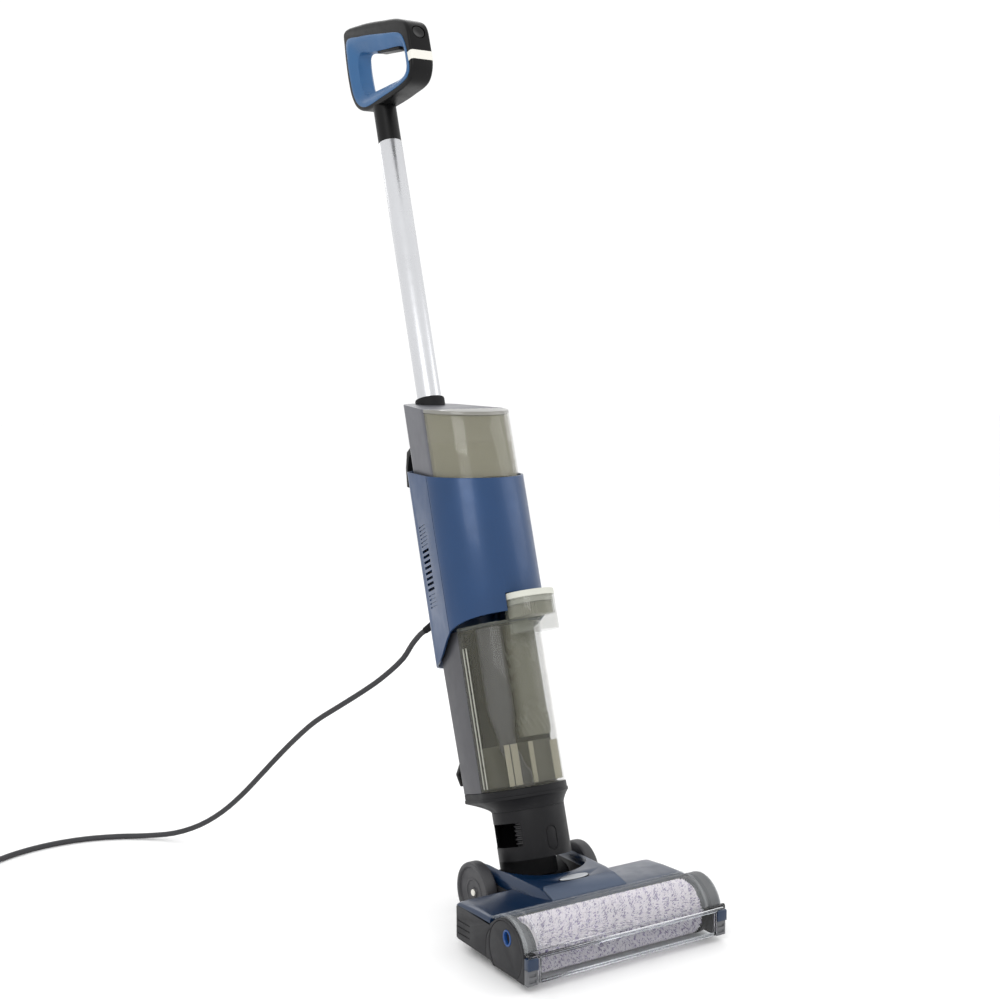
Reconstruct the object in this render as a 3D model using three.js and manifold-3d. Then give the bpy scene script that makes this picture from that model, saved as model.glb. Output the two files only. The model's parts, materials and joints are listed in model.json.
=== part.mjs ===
// A corded wet and dry floor scrubber: floor head with brush roll, swivel yoke, reclining upright with
// clean and dirty tanks, tube and loop handle. Millimetres, +Z up, front along -Y, right along +X.
// The origin is on the floor, under the middle of the machine (without its cord).
import * as THREE from 'three';
import { mergeVertices } from 'three/addons/utils/BufferGeometryUtils.js';
import Module from 'manifold-3d';

const wasm = await Module();
wasm.setup();

// ---------------------------------------------------------------- driving dimensions
const LEAN = THREE.MathUtils.degToRad(17); // how far the upright leans back
const AXLE_Y = -122; // wheels and recline pivot, from the origin
const AXLE_Z = 35;
const GAP = 0.3; // clearance between touching pieces
const WALL = 2.5; // moulded wall

const HEAD = { half: 132.5, front: -200, rear: -56, chamberBack: -118, top: 54, floor: 8 };
const STEM = { half: 61, rear: 28, top: 66, wall: 4 };
const WHEEL = { r: 35, x0: 64, x1: 79, hub: 27, axle: 4 };
const BRUSH = { y: -156, z: 32, r: 31, core: 24, bore: 20, half: 111, coverIn: 34.8, coverOut: 37.3 };
const MOTOR = { y: -91, z: 30, r: 17 };
const BELT = { x0: 113, x1: 118, thick: 1.6, driven: 13, motor: 6 };
const NECK = { y: -23, r: 43, wall: 3, s0: 28, s1: 84, barrel: 19, halfBarrel: 44 };
const FLANGE = { s0: NECK.s1 + GAP, s1: 98, s2: 109 };
const TUBE = { y: 58, r: 15.5, wall: 1.5, s0: 470, s1: 955 };
const BODY = { sShell0: 266, sShell1: 512 };
const SEAM_Y = -14; // the plane between front and rear pieces of the body
const HANDLE = { half: 17 };
const CORD = { d: 7, exit: [-18, 68, 330] }; // exit hole in the rear shell, in the upright's frame

// ---------------------------------------------------------------- materials
function paint(hex, roughness, metalness = 0, opacity = 1) {
  return new THREE.MeshStandardMaterial({
    color: hex, roughness, metalness, opacity, transparent: opacity < 1,
  });
}
const blue = paint(0x244e7a, 0.4, 0.25);
const navy = paint(0x14365e, 0.35, 0.1);
const gripBlue = paint(0x35649b, 0.5);
const darkGrey = paint(0x4a4a4d, 0.55);
const midGrey = paint(0x6e7074, 0.55);
const black = paint(0x1c1c1d, 0.5);
const rubber = paint(0x202022, 0.85);
const white = paint(0xf2f1ea, 0.5);
const silver = paint(0xd8dadc, 0.3, 0.8);
const steel = paint(0xb8bbbe, 0.35, 0.9);
const smoke = paint(0x8f8a74, 0.15, 0, 0.45);
const clear = paint(0xe4e8ea, 0.1, 0, 0.35);
const olive = paint(0x6f6d5c, 0.3, 0, 0.8);
const pile = paint(0xd9d0dc, 0.95);
const board = paint(0x2f6b3f, 0.6);

// ---------------------------------------------------------------- shape helpers
// A closed geometry as a manifold solid.
function solid(geometry) {
  const bare = geometry.index ? geometry.toNonIndexed() : geometry.clone();
  for (const name of ['normal', 'uv']) bare.deleteAttribute(name);
  const merged = mergeVertices(bare, 1e-3);
  const made = new wasm.Manifold(new wasm.Mesh({
    numProp: 3,
    vertProperties: Float32Array.from(merged.attributes.position.array),
    triVerts: Uint32Array.from(merged.index.array),
  }));
  return made;
}

// A manifold solid as a geometry.
function geometryOf(body) {
  const mesh = body.getMesh();
  const geometry = new THREE.BufferGeometry();
  geometry.setAttribute('position', new THREE.BufferAttribute(mesh.vertProperties, 3));
  geometry.setIndex(new THREE.BufferAttribute(mesh.triVerts, 1));
  geometry.computeVertexNormals();
  return geometry;
}

function box(x0, x1, y0, y1, z0, z1) {
  const geometry = new THREE.BoxGeometry(x1 - x0, y1 - y0, z1 - z0);
  geometry.translate((x0 + x1) / 2, (y0 + y1) / 2, (z0 + z1) / 2);
  return solid(geometry);
}

// A cylinder along X, or along Z, from a to b.
function rodX(r, x0, x1, y, z, sides = 32) {
  const geometry = new THREE.CylinderGeometry(r, r, x1 - x0, sides);
  geometry.rotateZ(Math.PI / 2);
  geometry.translate((x0 + x1) / 2, y, z);
  return solid(geometry);
}
function rodZ(r, x, y, z0, z1, sides = 32) {
  const geometry = new THREE.CylinderGeometry(r, r, z1 - z0, sides);
  geometry.rotateX(Math.PI / 2);
  geometry.translate(x, y, (z0 + z1) / 2);
  return solid(geometry);
}
function rodY(r, y0, y1, x, z, sides = 24) {
  const geometry = new THREE.CylinderGeometry(r, r, y1 - y0, sides);
  geometry.translate(x, (y0 + y1) / 2, z);
  return solid(geometry);
}

// A plan outline (x, y) pushed up from z0 to z1.
function prism(points, z0, z1) {
  const geometry = new THREE.ExtrudeGeometry(new THREE.Shape(points), { depth: z1 - z0, bevelEnabled: false });
  geometry.translate(0, 0, z0);
  return solid(geometry);
}

// A side outline (y, z) pushed along X from x0 to x1.
function slabX(points, x0, x1) {
  const geometry = new THREE.ExtrudeGeometry(new THREE.Shape(points), { depth: x1 - x0, bevelEnabled: false });
  geometry.rotateY(Math.PI / 2);
  geometry.rotateX(Math.PI / 2);
  geometry.translate(x0, 0, 0);
  return solid(geometry);
}

// A turned piece: profile points (radius, height) about Z, moved to x, y.
function turned(profile, x, y, sides = 32) {
  const geometry = new THREE.LatheGeometry(profile.map(([r, z]) => new THREE.Vector2(r, z)), sides);
  geometry.rotateX(Math.PI / 2);
  geometry.translate(x, y, 0);
  const made = solid(geometry);
  return made.volume() < 0 ? solid(flipped(geometry)) : made;
}

function flipped(geometry) {
  const index = geometry.index.array;
  for (let i = 0; i < index.length; i += 3) [index[i], index[i + 1]] = [index[i + 1], index[i]];
  return geometry;
}

const at = (y, z) => new THREE.Vector2(y, z);

// Points of an arc about (cx, cy), from angle a to b in degrees, with radii rx and ry.
function arc(cx, cy, rx, ry, a, b, steps) {
  return Array.from({ length: steps + 1 }, (_, i) => {
    const t = THREE.MathUtils.degToRad(a + ((b - a) * i) / steps);
    return at(cx + rx * Math.cos(t), cy + ry * Math.sin(t));
  });
}

// A closed outline moved inwards by a distance (outwards when negative).
function inward(points, distance) {
  const middle = points.reduce((sum, p) => sum.add(p), at(0, 0)).divideScalar(points.length);
  return points.map((p, i) => {
    const along = points[(i + 1) % points.length].clone().sub(points[(i + points.length - 1) % points.length]);
    const normal = at(-along.y, along.x).normalize();
    if (normal.dot(middle.clone().sub(p)) < 0) normal.negate();
    return p.clone().addScaledVector(normal, distance);
  });
}

// The body's plan: a half ellipse in front, straight sides, a flatter round back.
function plan({ half, front, wide, backHalf, backY, rear }, inset = 0) {
  const frontArc = arc(0, wide, half - inset, wide - front - inset, 180, 360, 20);
  const backArc = arc(0, backY, backHalf - inset, rear - backY - inset, 0, 180, 12);
  return [...frontArc, ...backArc];
}
const PLAN = {
  shell: { half: 64, front: -74, wide: SEAM_Y, backHalf: 50, backY: 50, rear: 80 },
  base: { half: 54, front: -70, wide: SEAM_Y, backHalf: 45, backY: 40, rear: 60 },
  lower: { half: 54, front: -70, wide: SEAM_Y, backHalf: 45, backY: 46, rear: 68 },
  clean: { half: 58, front: -70.5, wide: SEAM_Y, backHalf: 41, backY: 50, rear: 77 },
};

// A half space above (or below) a plane through (y, z) that falls towards the front by the slope.
function slantCut(y, z, slope, above) {
  const cut = box(-150, 150, -200, 200, above ? 0 : -300, above ? 300 : 0);
  return cut.rotate([THREE.MathUtils.radToDeg(Math.atan(slope)), 0, 0]).translate([0, y, z]);
}
const RIM_SLOPE = 0.3;
const SHELL_RIM = [50, 509]; // y, s of the blue shell's upper edge at the back
const CLEAN_TOP = [50, 596];
const CLEAN_SLOPE = 0.35;
const COLLAR = { x: 17, y: -70, r: 31 };   // pouring collar on the dirty tank's lid

// ---------------------------------------------------------------- scene graph
const scrubber = new THREE.Group();
const head = new THREE.Group(); // plan coordinates are from the wheel axle
head.position.set(0, AXLE_Y, 0);
scrubber.add(head);
const upright = new THREE.Group(); // local z runs up the body, from the recline pivot
upright.position.set(0, AXLE_Y, AXLE_Z);
upright.rotation.x = -LEAN;
scrubber.add(upright);

function add(group, name, shape, material) {
  const geometry = shape instanceof THREE.BufferGeometry ? shape : geometryOf(shape);
  const mesh = new THREE.Mesh(geometry, material);
  mesh.name = name;
  group.add(mesh);
  return mesh;
}

// ---------------------------------------------------------------- floor head
const BLOCK_DEPTH = 8; // the blue corner blocks in front of the cheeks

// The side outline of an end cheek: flat behind, an arc over the brush, a step down in front.
function cheekOutline() {
  const { front, rear, top, floor } = HEAD;
  return [
    at(rear, floor + 6), at(rear, top - 4), at(HEAD.chamberBack - 10, top - 2),
    ...arc(BRUSH.y, BRUSH.z, BRUSH.coverIn - 2 * GAP, BRUSH.coverIn - 2 * GAP, 52, 165, 16),
    at(front + BLOCK_DEPTH + GAP, 34), at(front + BLOCK_DEPTH + GAP, floor), at(HEAD.chamberBack - 14, floor),
    at(HEAD.chamberBack - 10, floor + 4),
  ];
}

function buildHead() {
  const { half, front, rear, chamberBack, top, floor } = HEAD;
  const cheek = 13;

  // Chassis: brush chamber back wall, floor plate, and the stem's bed with its side walls.
  const chamberWall = box(-half + cheek, half - cheek - 6.5, chamberBack, chamberBack + 3, floor, top - 5);
  const floorPlate = box(-half + cheek, half - cheek - 6.5, chamberBack, rear, floor, floor + 3);
  const rearWall = box(-half + cheek, half - cheek - 6.5, rear - 3, rear, floor, top - 5);
  const stemBed = box(-STEM.half, STEM.half, rear - 6, STEM.rear, floor, floor + 3);
  const wallLeft = box(-STEM.half, -STEM.half + STEM.wall, rear - 6, STEM.rear, floor, top - 5);
  const wallRight = box(STEM.half - STEM.wall, STEM.half, rear - 6, STEM.rear, floor, top - 5);
  const passage = box(-STEM.half + STEM.wall, STEM.half - STEM.wall, rear - 10, rear + 5, floor + 3, top);
  const seat = rodZ(12.3, 0, 0, floor - 1, floor + 4);
  const throatHole = rodY(13.3, chamberBack - 1, chamberBack + 4, 0, 30);
  const axles = [-1, 1].map((sign) => {
    const ends = [sign * (STEM.half - 2), sign * (WHEEL.x1 - 2)].sort((a, b) => a - b);
    return rodX(WHEEL.axle, ends[0], ends[1], 0, WHEEL.r, 16);
  });
  const base = wasm.Manifold.union([chamberWall, floorPlate, rearWall, stemBed, wallLeft, wallRight, ...axles]);
  add(head, 'head_chassis', base.subtract(passage).subtract(seat).subtract(throatHole), darkGrey);

  // Blue top cover: the wide part and the raised stem over it, hollow below, open around the neck.
  const wideTop = slabX([at(rear, top - 4 + GAP), at(rear, top), at(chamberBack - 8, top + 4),
    at(chamberBack - 8, top - 2 + GAP)], -half, half);
  const stemTop = slabX([at(STEM.rear, top - 4.7), at(STEM.rear, STEM.top - 4), at(STEM.rear - 8, STEM.top),
    at(-96, STEM.top + 1), at(chamberBack + 2, top + 7), at(chamberBack - 8, top + 4),
    at(chamberBack - 8, top + 1), at(rear - 10, top - 4.7)], -STEM.half, STEM.half);
  const stemUnder = slabX([at(STEM.rear + 1, top - 6), at(STEM.rear + 1, STEM.top - 5), at(STEM.rear - 8, STEM.top - 3),
    at(-94, STEM.top - 2), at(chamberBack + 4, top + 3), at(chamberBack + 4, top - 6)],
  -STEM.half + 3, STEM.half - 3);
  const neckHole = prism([...arc(0, NECK.y, 55, 51, 180, 360, 20), at(55, STEM.rear + 2), at(-55, STEM.rear + 2)],
    top - 10, STEM.top + 5);
  const buttonHole = prism(arc(0, -92, 20.5, 6.8, 0, 354, 30), top, STEM.top + 4);
  const plateSeat = box(-50.3, 50.3, chamberBack - 9, -101.7, top + 3.6, top + 20);
  const coverTop = wasm.Manifold.union([wideTop, stemTop]);
  add(head, 'head_top_cover', coverTop.subtract(stemUnder).subtract(neckHole).subtract(buttonHole)
    .subtract(plateSeat), navy);

  // Name plate, left blank, laid in the front of the stem.
  add(head, 'blank_plate', slabX([at(chamberBack - 8, top + 4), at(-102, top + 4), at(-102, STEM.top + 0.4),
    at(chamberBack - 8, top + 6.5)], -50, 50), midGrey);

  // Cover release button with its return spring.
  const buttonTop = prism(arc(0, -92, 20, 6.4, 0, 354, 30), STEM.top - 1, STEM.top + 2.2);
  const buttonStem = rodZ(3, 0, -92, STEM.top - 9, STEM.top, 16);
  add(head, 'release_button', buttonTop.add(buttonStem), silver);
  add(head, 'release_spring', rodZ(5, 0, -92, 43.3, STEM.top - 1.3, 16)
    .subtract(rodZ(4, 0, -92, 40, STEM.top, 16)), steel);

  // End cheeks. The left one lets the brush out, the right one covers the belt.
  const brushWay = rodX(BRUSH.r + 0.9, -half - 1, -half + cheek + 1, BRUSH.y, BRUSH.z, 40);
  const left = slabX(cheekOutline(), -half, -half + cheek - GAP);
  add(head, 'left_cheek', left.subtract(brushWay), darkGrey);
  const right = slabX(cheekOutline(), half - cheek, half);
  const beltRoom = rodX(16.5, half - cheek - 1, half - 5, BRUSH.y, BRUSH.z);
  const motorRoom = rodX(11, half - cheek - 1, half - 5, MOTOR.y, MOTOR.z);
  add(head, 'right_cheek', right.subtract(beltRoom).subtract(motorRoom), darkGrey);

  // Blue corner blocks at the front.
  for (const [name, sign] of [['left_corner_block', -1], ['right_corner_block', 1]]) {
    const x0 = sign < 0 ? -half : half - cheek;
    const block = box(x0, x0 + cheek, front, front + BLOCK_DEPTH, 25, 37);
    const under = box(x0, x0 + cheek, front + 2, front + BLOCK_DEPTH, floor, 25);
    add(head, name, block.add(under), navy);
  }

  // Squeegee strip behind the brush and front bumper strip.
  add(head, 'squeegee', slabX([at(chamberBack - 5, floor + 3), at(chamberBack - GAP, floor + 3),
    at(chamberBack - GAP, 1.5), at(chamberBack - 2.5, 1.5)], -108, 108), rubber);

  // Suction throat from the brush chamber to the neck, and the spray bar over the brush.
  add(head, 'suction_throat', rodY(13, chamberBack - 2, -78, 0, 30)
    .subtract(rodY(10.5, chamberBack - 3, -77, 0, 30)), black);
  add(head, 'spray_bar', rodX(3, -90, 90, chamberBack - 4, 46, 16).add(box(-60, 60, -120.5, -118.3, 44, 48)), midGrey);
}

// The outline (y, z) of the removable end cap: a disc that is flat at the floor side.
function endCapOutline() {
  return arc(BRUSH.y, BRUSH.z, BRUSH.r + 0.6, BRUSH.r + 0.6, -49, 229, 32);
}

function buildDrive() {
  const { half } = BRUSH;
  // Brush roll: a hard core with the pile sleeve on it, and the drive dog at its right end.
  const core = rodX(BRUSH.core, -half, half, BRUSH.y, BRUSH.z, 32)
    .subtract(rodX(BRUSH.bore, -half - 1, half - 6, BRUSH.y, BRUSH.z, 32));
  add(head, 'brush_core', core.add(rodX(6, half - 7, half + 3.6, BRUSH.y, BRUSH.z, 6)), black);
  add(head, 'brush_pile', rodX(BRUSH.r, -half + 2, half - 2, BRUSH.y, BRUSH.z, 44)
    .subtract(rodX(BRUSH.core + GAP, -half, half, BRUSH.y, BRUSH.z, 32)), pile);

  // End cap that carries the brush's left bearing, with a finger ring.
  const cap = slabX(endCapOutline(), -HEAD.half, -HEAD.half + 5);
  const bearing = rodX(BRUSH.bore - GAP, -HEAD.half + 4, -half + 14, BRUSH.y, BRUSH.z, 28);
  const fingerHole = rodX(7.5, -HEAD.half - 1, -HEAD.half + 3.8, BRUSH.y - 3, 50, 24);
  add(head, 'brush_end_cap', cap.subtract(fingerHole).add(bearing), darkGrey);

  // Brush motor, toothed pulleys and the belt under the right cheek.
  add(head, 'brush_motor', rodX(MOTOR.r, 36, 104, MOTOR.y, MOTOR.z).add(rodX(2, 103, 112.6, MOTOR.y, MOTOR.z, 16)),
    steel);
  const dog = rodX(6.3, 110, 115, BRUSH.y, BRUSH.z, 6);
  add(head, 'driven_pulley', rodX(BELT.driven, BELT.x0, BELT.x1, BRUSH.y, BRUSH.z).subtract(dog), black);
  add(head, 'motor_pulley', rodX(BELT.motor, BELT.x0, BELT.x1, MOTOR.y, MOTOR.z, 20), black);
  const loop = (grow) => {
    const big = BELT.driven + grow;
    const small = BELT.motor + grow;
    const run = Math.hypot(MOTOR.y - BRUSH.y, MOTOR.z - BRUSH.z);
    const tilt = THREE.MathUtils.radToDeg(Math.acos((big - small) / run));
    return [...arc(BRUSH.y, BRUSH.z, big, big, tilt, 360 - tilt, 24),
      ...arc(MOTOR.y, MOTOR.z, small, small, -tilt, tilt, 12)];
  };
  add(head, 'drive_belt', slabX(loop(GAP + BELT.thick), BELT.x0 + 0.3, BELT.x1 - 0.3)
    .subtract(slabX(loop(GAP), BELT.x0 - 1, BELT.x1 + 1)), rubber);

  // Wheels on stub axles.
  for (const [side, sign] of [['left', -1], ['right', 1]]) {
    const [a, b] = sign < 0 ? [-WHEEL.x1, -WHEEL.x0] : [WHEEL.x0, WHEEL.x1];
    const face = sign < 0 ? a : b;
    const wheel = rodX(WHEEL.r, a, b, 0, WHEEL.r, 40)
      .subtract(rodX(WHEEL.hub, face - 1.5, face + 1.5, 0, WHEEL.r, 32))
      .subtract(rodX(4.3, a - 1, b + 1, 0, WHEEL.r, 16));
    add(head, side + '_wheel', wheel, rubber);
  }
}

// Clear cover over the brush: an arc, a cross bar, and a window down to the floor strip.
function buildBrushCover() {
  const { coverIn, coverOut, y, z } = BRUSH;
  const hood = slabX([...arc(y, z, coverOut, coverOut, 50, 168, 22), ...arc(y, z, coverIn, coverIn, 168, 50, 22)],
    -131, 131);
  const flange = slabX([at(y + 22, z + 28.6), at(HEAD.chamberBack - 8.4, 57.6), at(HEAD.chamberBack - 8.4, 60.2),
    at(y + 22, z + 31.6)], -131, 131);
  const front = HEAD.front + 1;
  const bar = box(-119, 119, front, front + 7, 37.6, 42.6);
  const window = box(-116, 116, front, front + 2.4, 11, 38.5);
  add(head, 'brush_cover', wasm.Manifold.union([hood, flange, bar, window]), clear);
}

function buildYoke() {
  const disc = rodZ(50, 0, 0, 11.3, 15, 32).add(rodZ(12, 0, 0, 8.2, 12, 20));
  const lug = (x0, x1) => slabX([at(-13, 14), at(13, 14), ...arc(0, AXLE_Z, 13, 13, 0, 180, 10)], x0, x1);
  const bore = rodX(5.3, -60, 60, 0, AXLE_Z, 16);
  add(head, 'swivel_yoke', wasm.Manifold.union([disc, lug(-50, -45.5), lug(45.5, 50)]).subtract(bore), black);
  add(head, 'left_pivot_pin', rodX(5, -51.5, -32, 0, AXLE_Z, 16), steel);
  add(head, 'right_pivot_pin', rodX(5, 32, 51.5, 0, AXLE_Z, 16), steel);
}

// ---------------------------------------------------------------- upright
function buildNeck() {
  const ring = (half, front, centre, inset = 0) => arc(0, centre, half - inset, centre - front - inset, 0, 349, 30);
  const column = prism(ring(NECK.r, NECK.y - NECK.r, NECK.y), NECK.s0, NECK.s1);
  const collar = prism(ring(36, -32, -5), 6, NECK.s0 + 1);
  const barrel = rodX(NECK.barrel, -NECK.halfBarrel, NECK.halfBarrel, 0, 0, 32);
  const bore = prism(ring(NECK.r, NECK.y - NECK.r, NECK.y, NECK.wall), 32, NECK.s1 + 1);
  const sideOpening = box(-60, -17, -52, 4, 44, 71);
  const pins = rodX(5.3, -60, -31, 0, 0, 16).add(rodX(5.3, 31, 60, 0, 0, 16));
  const body = wasm.Manifold.union([column, collar, barrel]);
  add(upright, 'neck_housing', body.subtract(bore).subtract(sideOpening).subtract(pins), darkGrey);

  // Corrugated hose that rises through the neck.
  const ridges = [];
  for (let s = 34; s < 80; s += 7) {
    ridges.push([13, s], [15, s + 2], [15, s + 4], [13, s + 6]);
  }
  const profile = [[11.5, 32.5], ...ridges, [11.5, 83.6], [11.5, 32.5]];
  add(upright, 'neck_hose', turned(profile, -6, NECK.y, 18), black);
}

// A closed skin through plan outlines that have the same number of points.
function loft(sections) {
  const count = sections[0].points.length;
  const position = [];
  for (const { points, z } of sections) for (const p of points) position.push(p.x, p.y, z);
  const index = [];
  for (let k = 0; k < sections.length - 1; k++) {
    for (let i = 0; i < count; i++) {
      const a = k * count + i;
      const b = k * count + ((i + 1) % count);
      index.push(a, b, b + count, a, b + count, a + count);
    }
  }
  for (const [ring, up] of [[0, false], [sections.length - 1, true]]) {
    const { points, z } = sections[ring];
    const centre = position.length / 3;
    position.push(0, points.reduce((sum, p) => sum + p.y, 0) / count, z);
    for (let i = 0; i < count; i++) {
      const a = ring * count + i;
      const b = ring * count + ((i + 1) % count);
      if (up) index.push(a, b, centre);
      else index.push(b, a, centre);
    }
  }
  const geometry = new THREE.BufferGeometry();
  geometry.setAttribute('position', new THREE.Float32BufferAttribute(position, 3));
  geometry.setIndex(index);
  return solid(geometry);
}

function buildBody() {
  // Funnel from the round neck to the flange that carries the casing and the dirty tank.
  const neckPlan = { half: NECK.r, front: NECK.y - NECK.r, wide: NECK.y, backHalf: NECK.r, backY: NECK.y, rear: 20 };
  const funnel = loft([
    { points: plan(neckPlan), z: FLANGE.s0 },
    { points: plan({ half: 47, front: -68, wide: -16, backHalf: 43, backY: 15, rear: 45 }), z: 91 },
    { points: plan(PLAN.base), z: FLANGE.s1 },
    { points: plan(PLAN.base), z: FLANGE.s2 },
  ]);
  const airway = rodZ(16, -6, NECK.y - 4, 80, 120, 28);
  add(upright, 'tank_base', funnel.subtract(airway), darkGrey);

  // Rear casing: a hollow spine behind the dirty tank.
  const rearHalf = box(-80, 80, SEAM_Y + GAP / 2, 100, 0, 600);
  const frontHalf = box(-80, 80, -100, SEAM_Y - GAP / 2, 0, 600);
  const taper = (inset, z0, z1) => loft([
    { points: plan(PLAN.base, inset), z: z0 },
    { points: plan(PLAN.lower, inset), z: z1 },
  ]);
  const casing = taper(0, FLANGE.s2 + GAP, 300).intersect(rearHalf);
  const casingRoom = taper(WALL, FLANGE.s2 + GAP + WALL, 301)
    .intersect(box(-80, 80, SEAM_Y + WALL, 100, 0, 600));
  add(upright, 'rear_casing', casing.subtract(casingRoom), darkGrey);
  add(upright, 'water_pump', rodZ(17, 0, 32, 113, 165, 24).add(box(-12, 12, 16, 48, 164, 182)), midGrey);

  // Blue shells, front and rear, around the suction motor.
  const ring = prism(plan(PLAN.shell), BODY.sShell0, BODY.sShell1)
    .subtract(prism(plan(PLAN.shell, WALL), BODY.sShell0 - 1, BODY.sShell1 + 1))
    .subtract(slantCut(SHELL_RIM[0], SHELL_RIM[1], RIM_SLOPE, true));
  const swoop = slabX([at(90, 262), at(60, 266), at(30, 277), at(0, 294), at(-30, 306), at(-60, 312), at(-100, 314),
    at(-100, 200), at(90, 200)], -80, 80);
  const notchR = COLLAR.r + 1.2;
  const collarNotch = rodZ(notchR, COLLAR.x, COLLAR.y, 250, 334, 36)
    .add(box(COLLAR.x - notchR, COLLAR.x + notchR, -110, COLLAR.y, 250, 334));
  add(upright, 'front_shell', ring.intersect(frontHalf).subtract(swoop).subtract(collarNotch), blue);
  let rearShell = ring.intersect(rearHalf).subtract(swoop);
  for (let i = 0; i < 8; i++) {
    rearShell = rearShell.subtract(box(-90, 90, 18, 44, 357 + i * 6.8, 360.4 + i * 6.8));
  }
  rearShell = rearShell.subtract(rodY(9.8, 60, 90, CORD.exit[0] - 4, CORD.exit[2] - 6, 20));
  add(upright, 'rear_shell', rearShell, blue);

  // Bulkhead that closes the shells and carries the clean tank and the tube.
  const deck = prism(plan(PLAN.shell, WALL + GAP), 468, 472).subtract(rodZ(TUBE.r + GAP, 0, TUBE.y, 460, 480, 28));
  const valveSeat = rodZ(6.3, 0, -30, 460, 480, 20);
  add(upright, 'tank_deck', deck.subtract(valveSeat), darkGrey);

  // Suction motor, impeller, and their mount on top of the casing.
  add(upright, 'motor_mount', prism(plan({ ...PLAN.shell, half: 60, front: -64, backHalf: 46, rear: 74 }), 340.3, 344)
    .subtract(rodZ(14, 0, 0, 330, 350, 28)).subtract(box(-80, 80, 64, 100, 330, 350)), midGrey);
  add(upright, 'suction_motor', rodZ(38, 0, 0, 364.3, 420, 36).add(rodZ(4, 0, 0, 350.6, 365, 16)), steel);
  const hub = rodZ(8, 0, 0, 346, 360, 20).subtract(rodZ(4.3, 0, 0, 350.3, 362, 16));
  const disc = rodZ(34, 0, 0, 346, 348, 32).subtract(rodZ(7, 0, 0, 340, 350, 20));
  let impeller = hub.add(disc);
  for (let i = 0; i < 6; i++) {
    impeller = impeller.add(box(7, 32, -0.9, 0.9, 347.5, 358).rotate([0, 0, i * 60]));
  }
  add(upright, 'impeller', impeller, silver);
  add(upright, 'control_board', box(-36, 36, 56, 58, 425, 462), board);

  // Cord hooks on the back: each a bent arm, 36 mm wide; the upper one turns on a pivot.
  const lowerHook = [[0, 150], [14, 150], [30, 146], [43, 133], [36, 117], [31, 118], [36, 132], [26, 140],
    [12, 143], [0, 143]];
  const upperHook = [[0, 551], [16, 551], [25, 548], [34, 528], [38, 505], [34, 503], [29, 527], [21, 541],
    [14, 544], [0, 544]];
  const hook = (line, back) => slabX(line.map(([y, z]) => at(y + back, z)), -18, 18);
  add(upright, 'lower_cord_hook', hook(lowerHook, 62.6), black);
  add(upright, 'upper_cord_hook', hook(upperHook, 80.4).add(rodY(5, 74.2, 88, 0, 543, 16))
    .add(box(-5, 5, 80.4, 88, 543, 546)), black);
}

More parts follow.
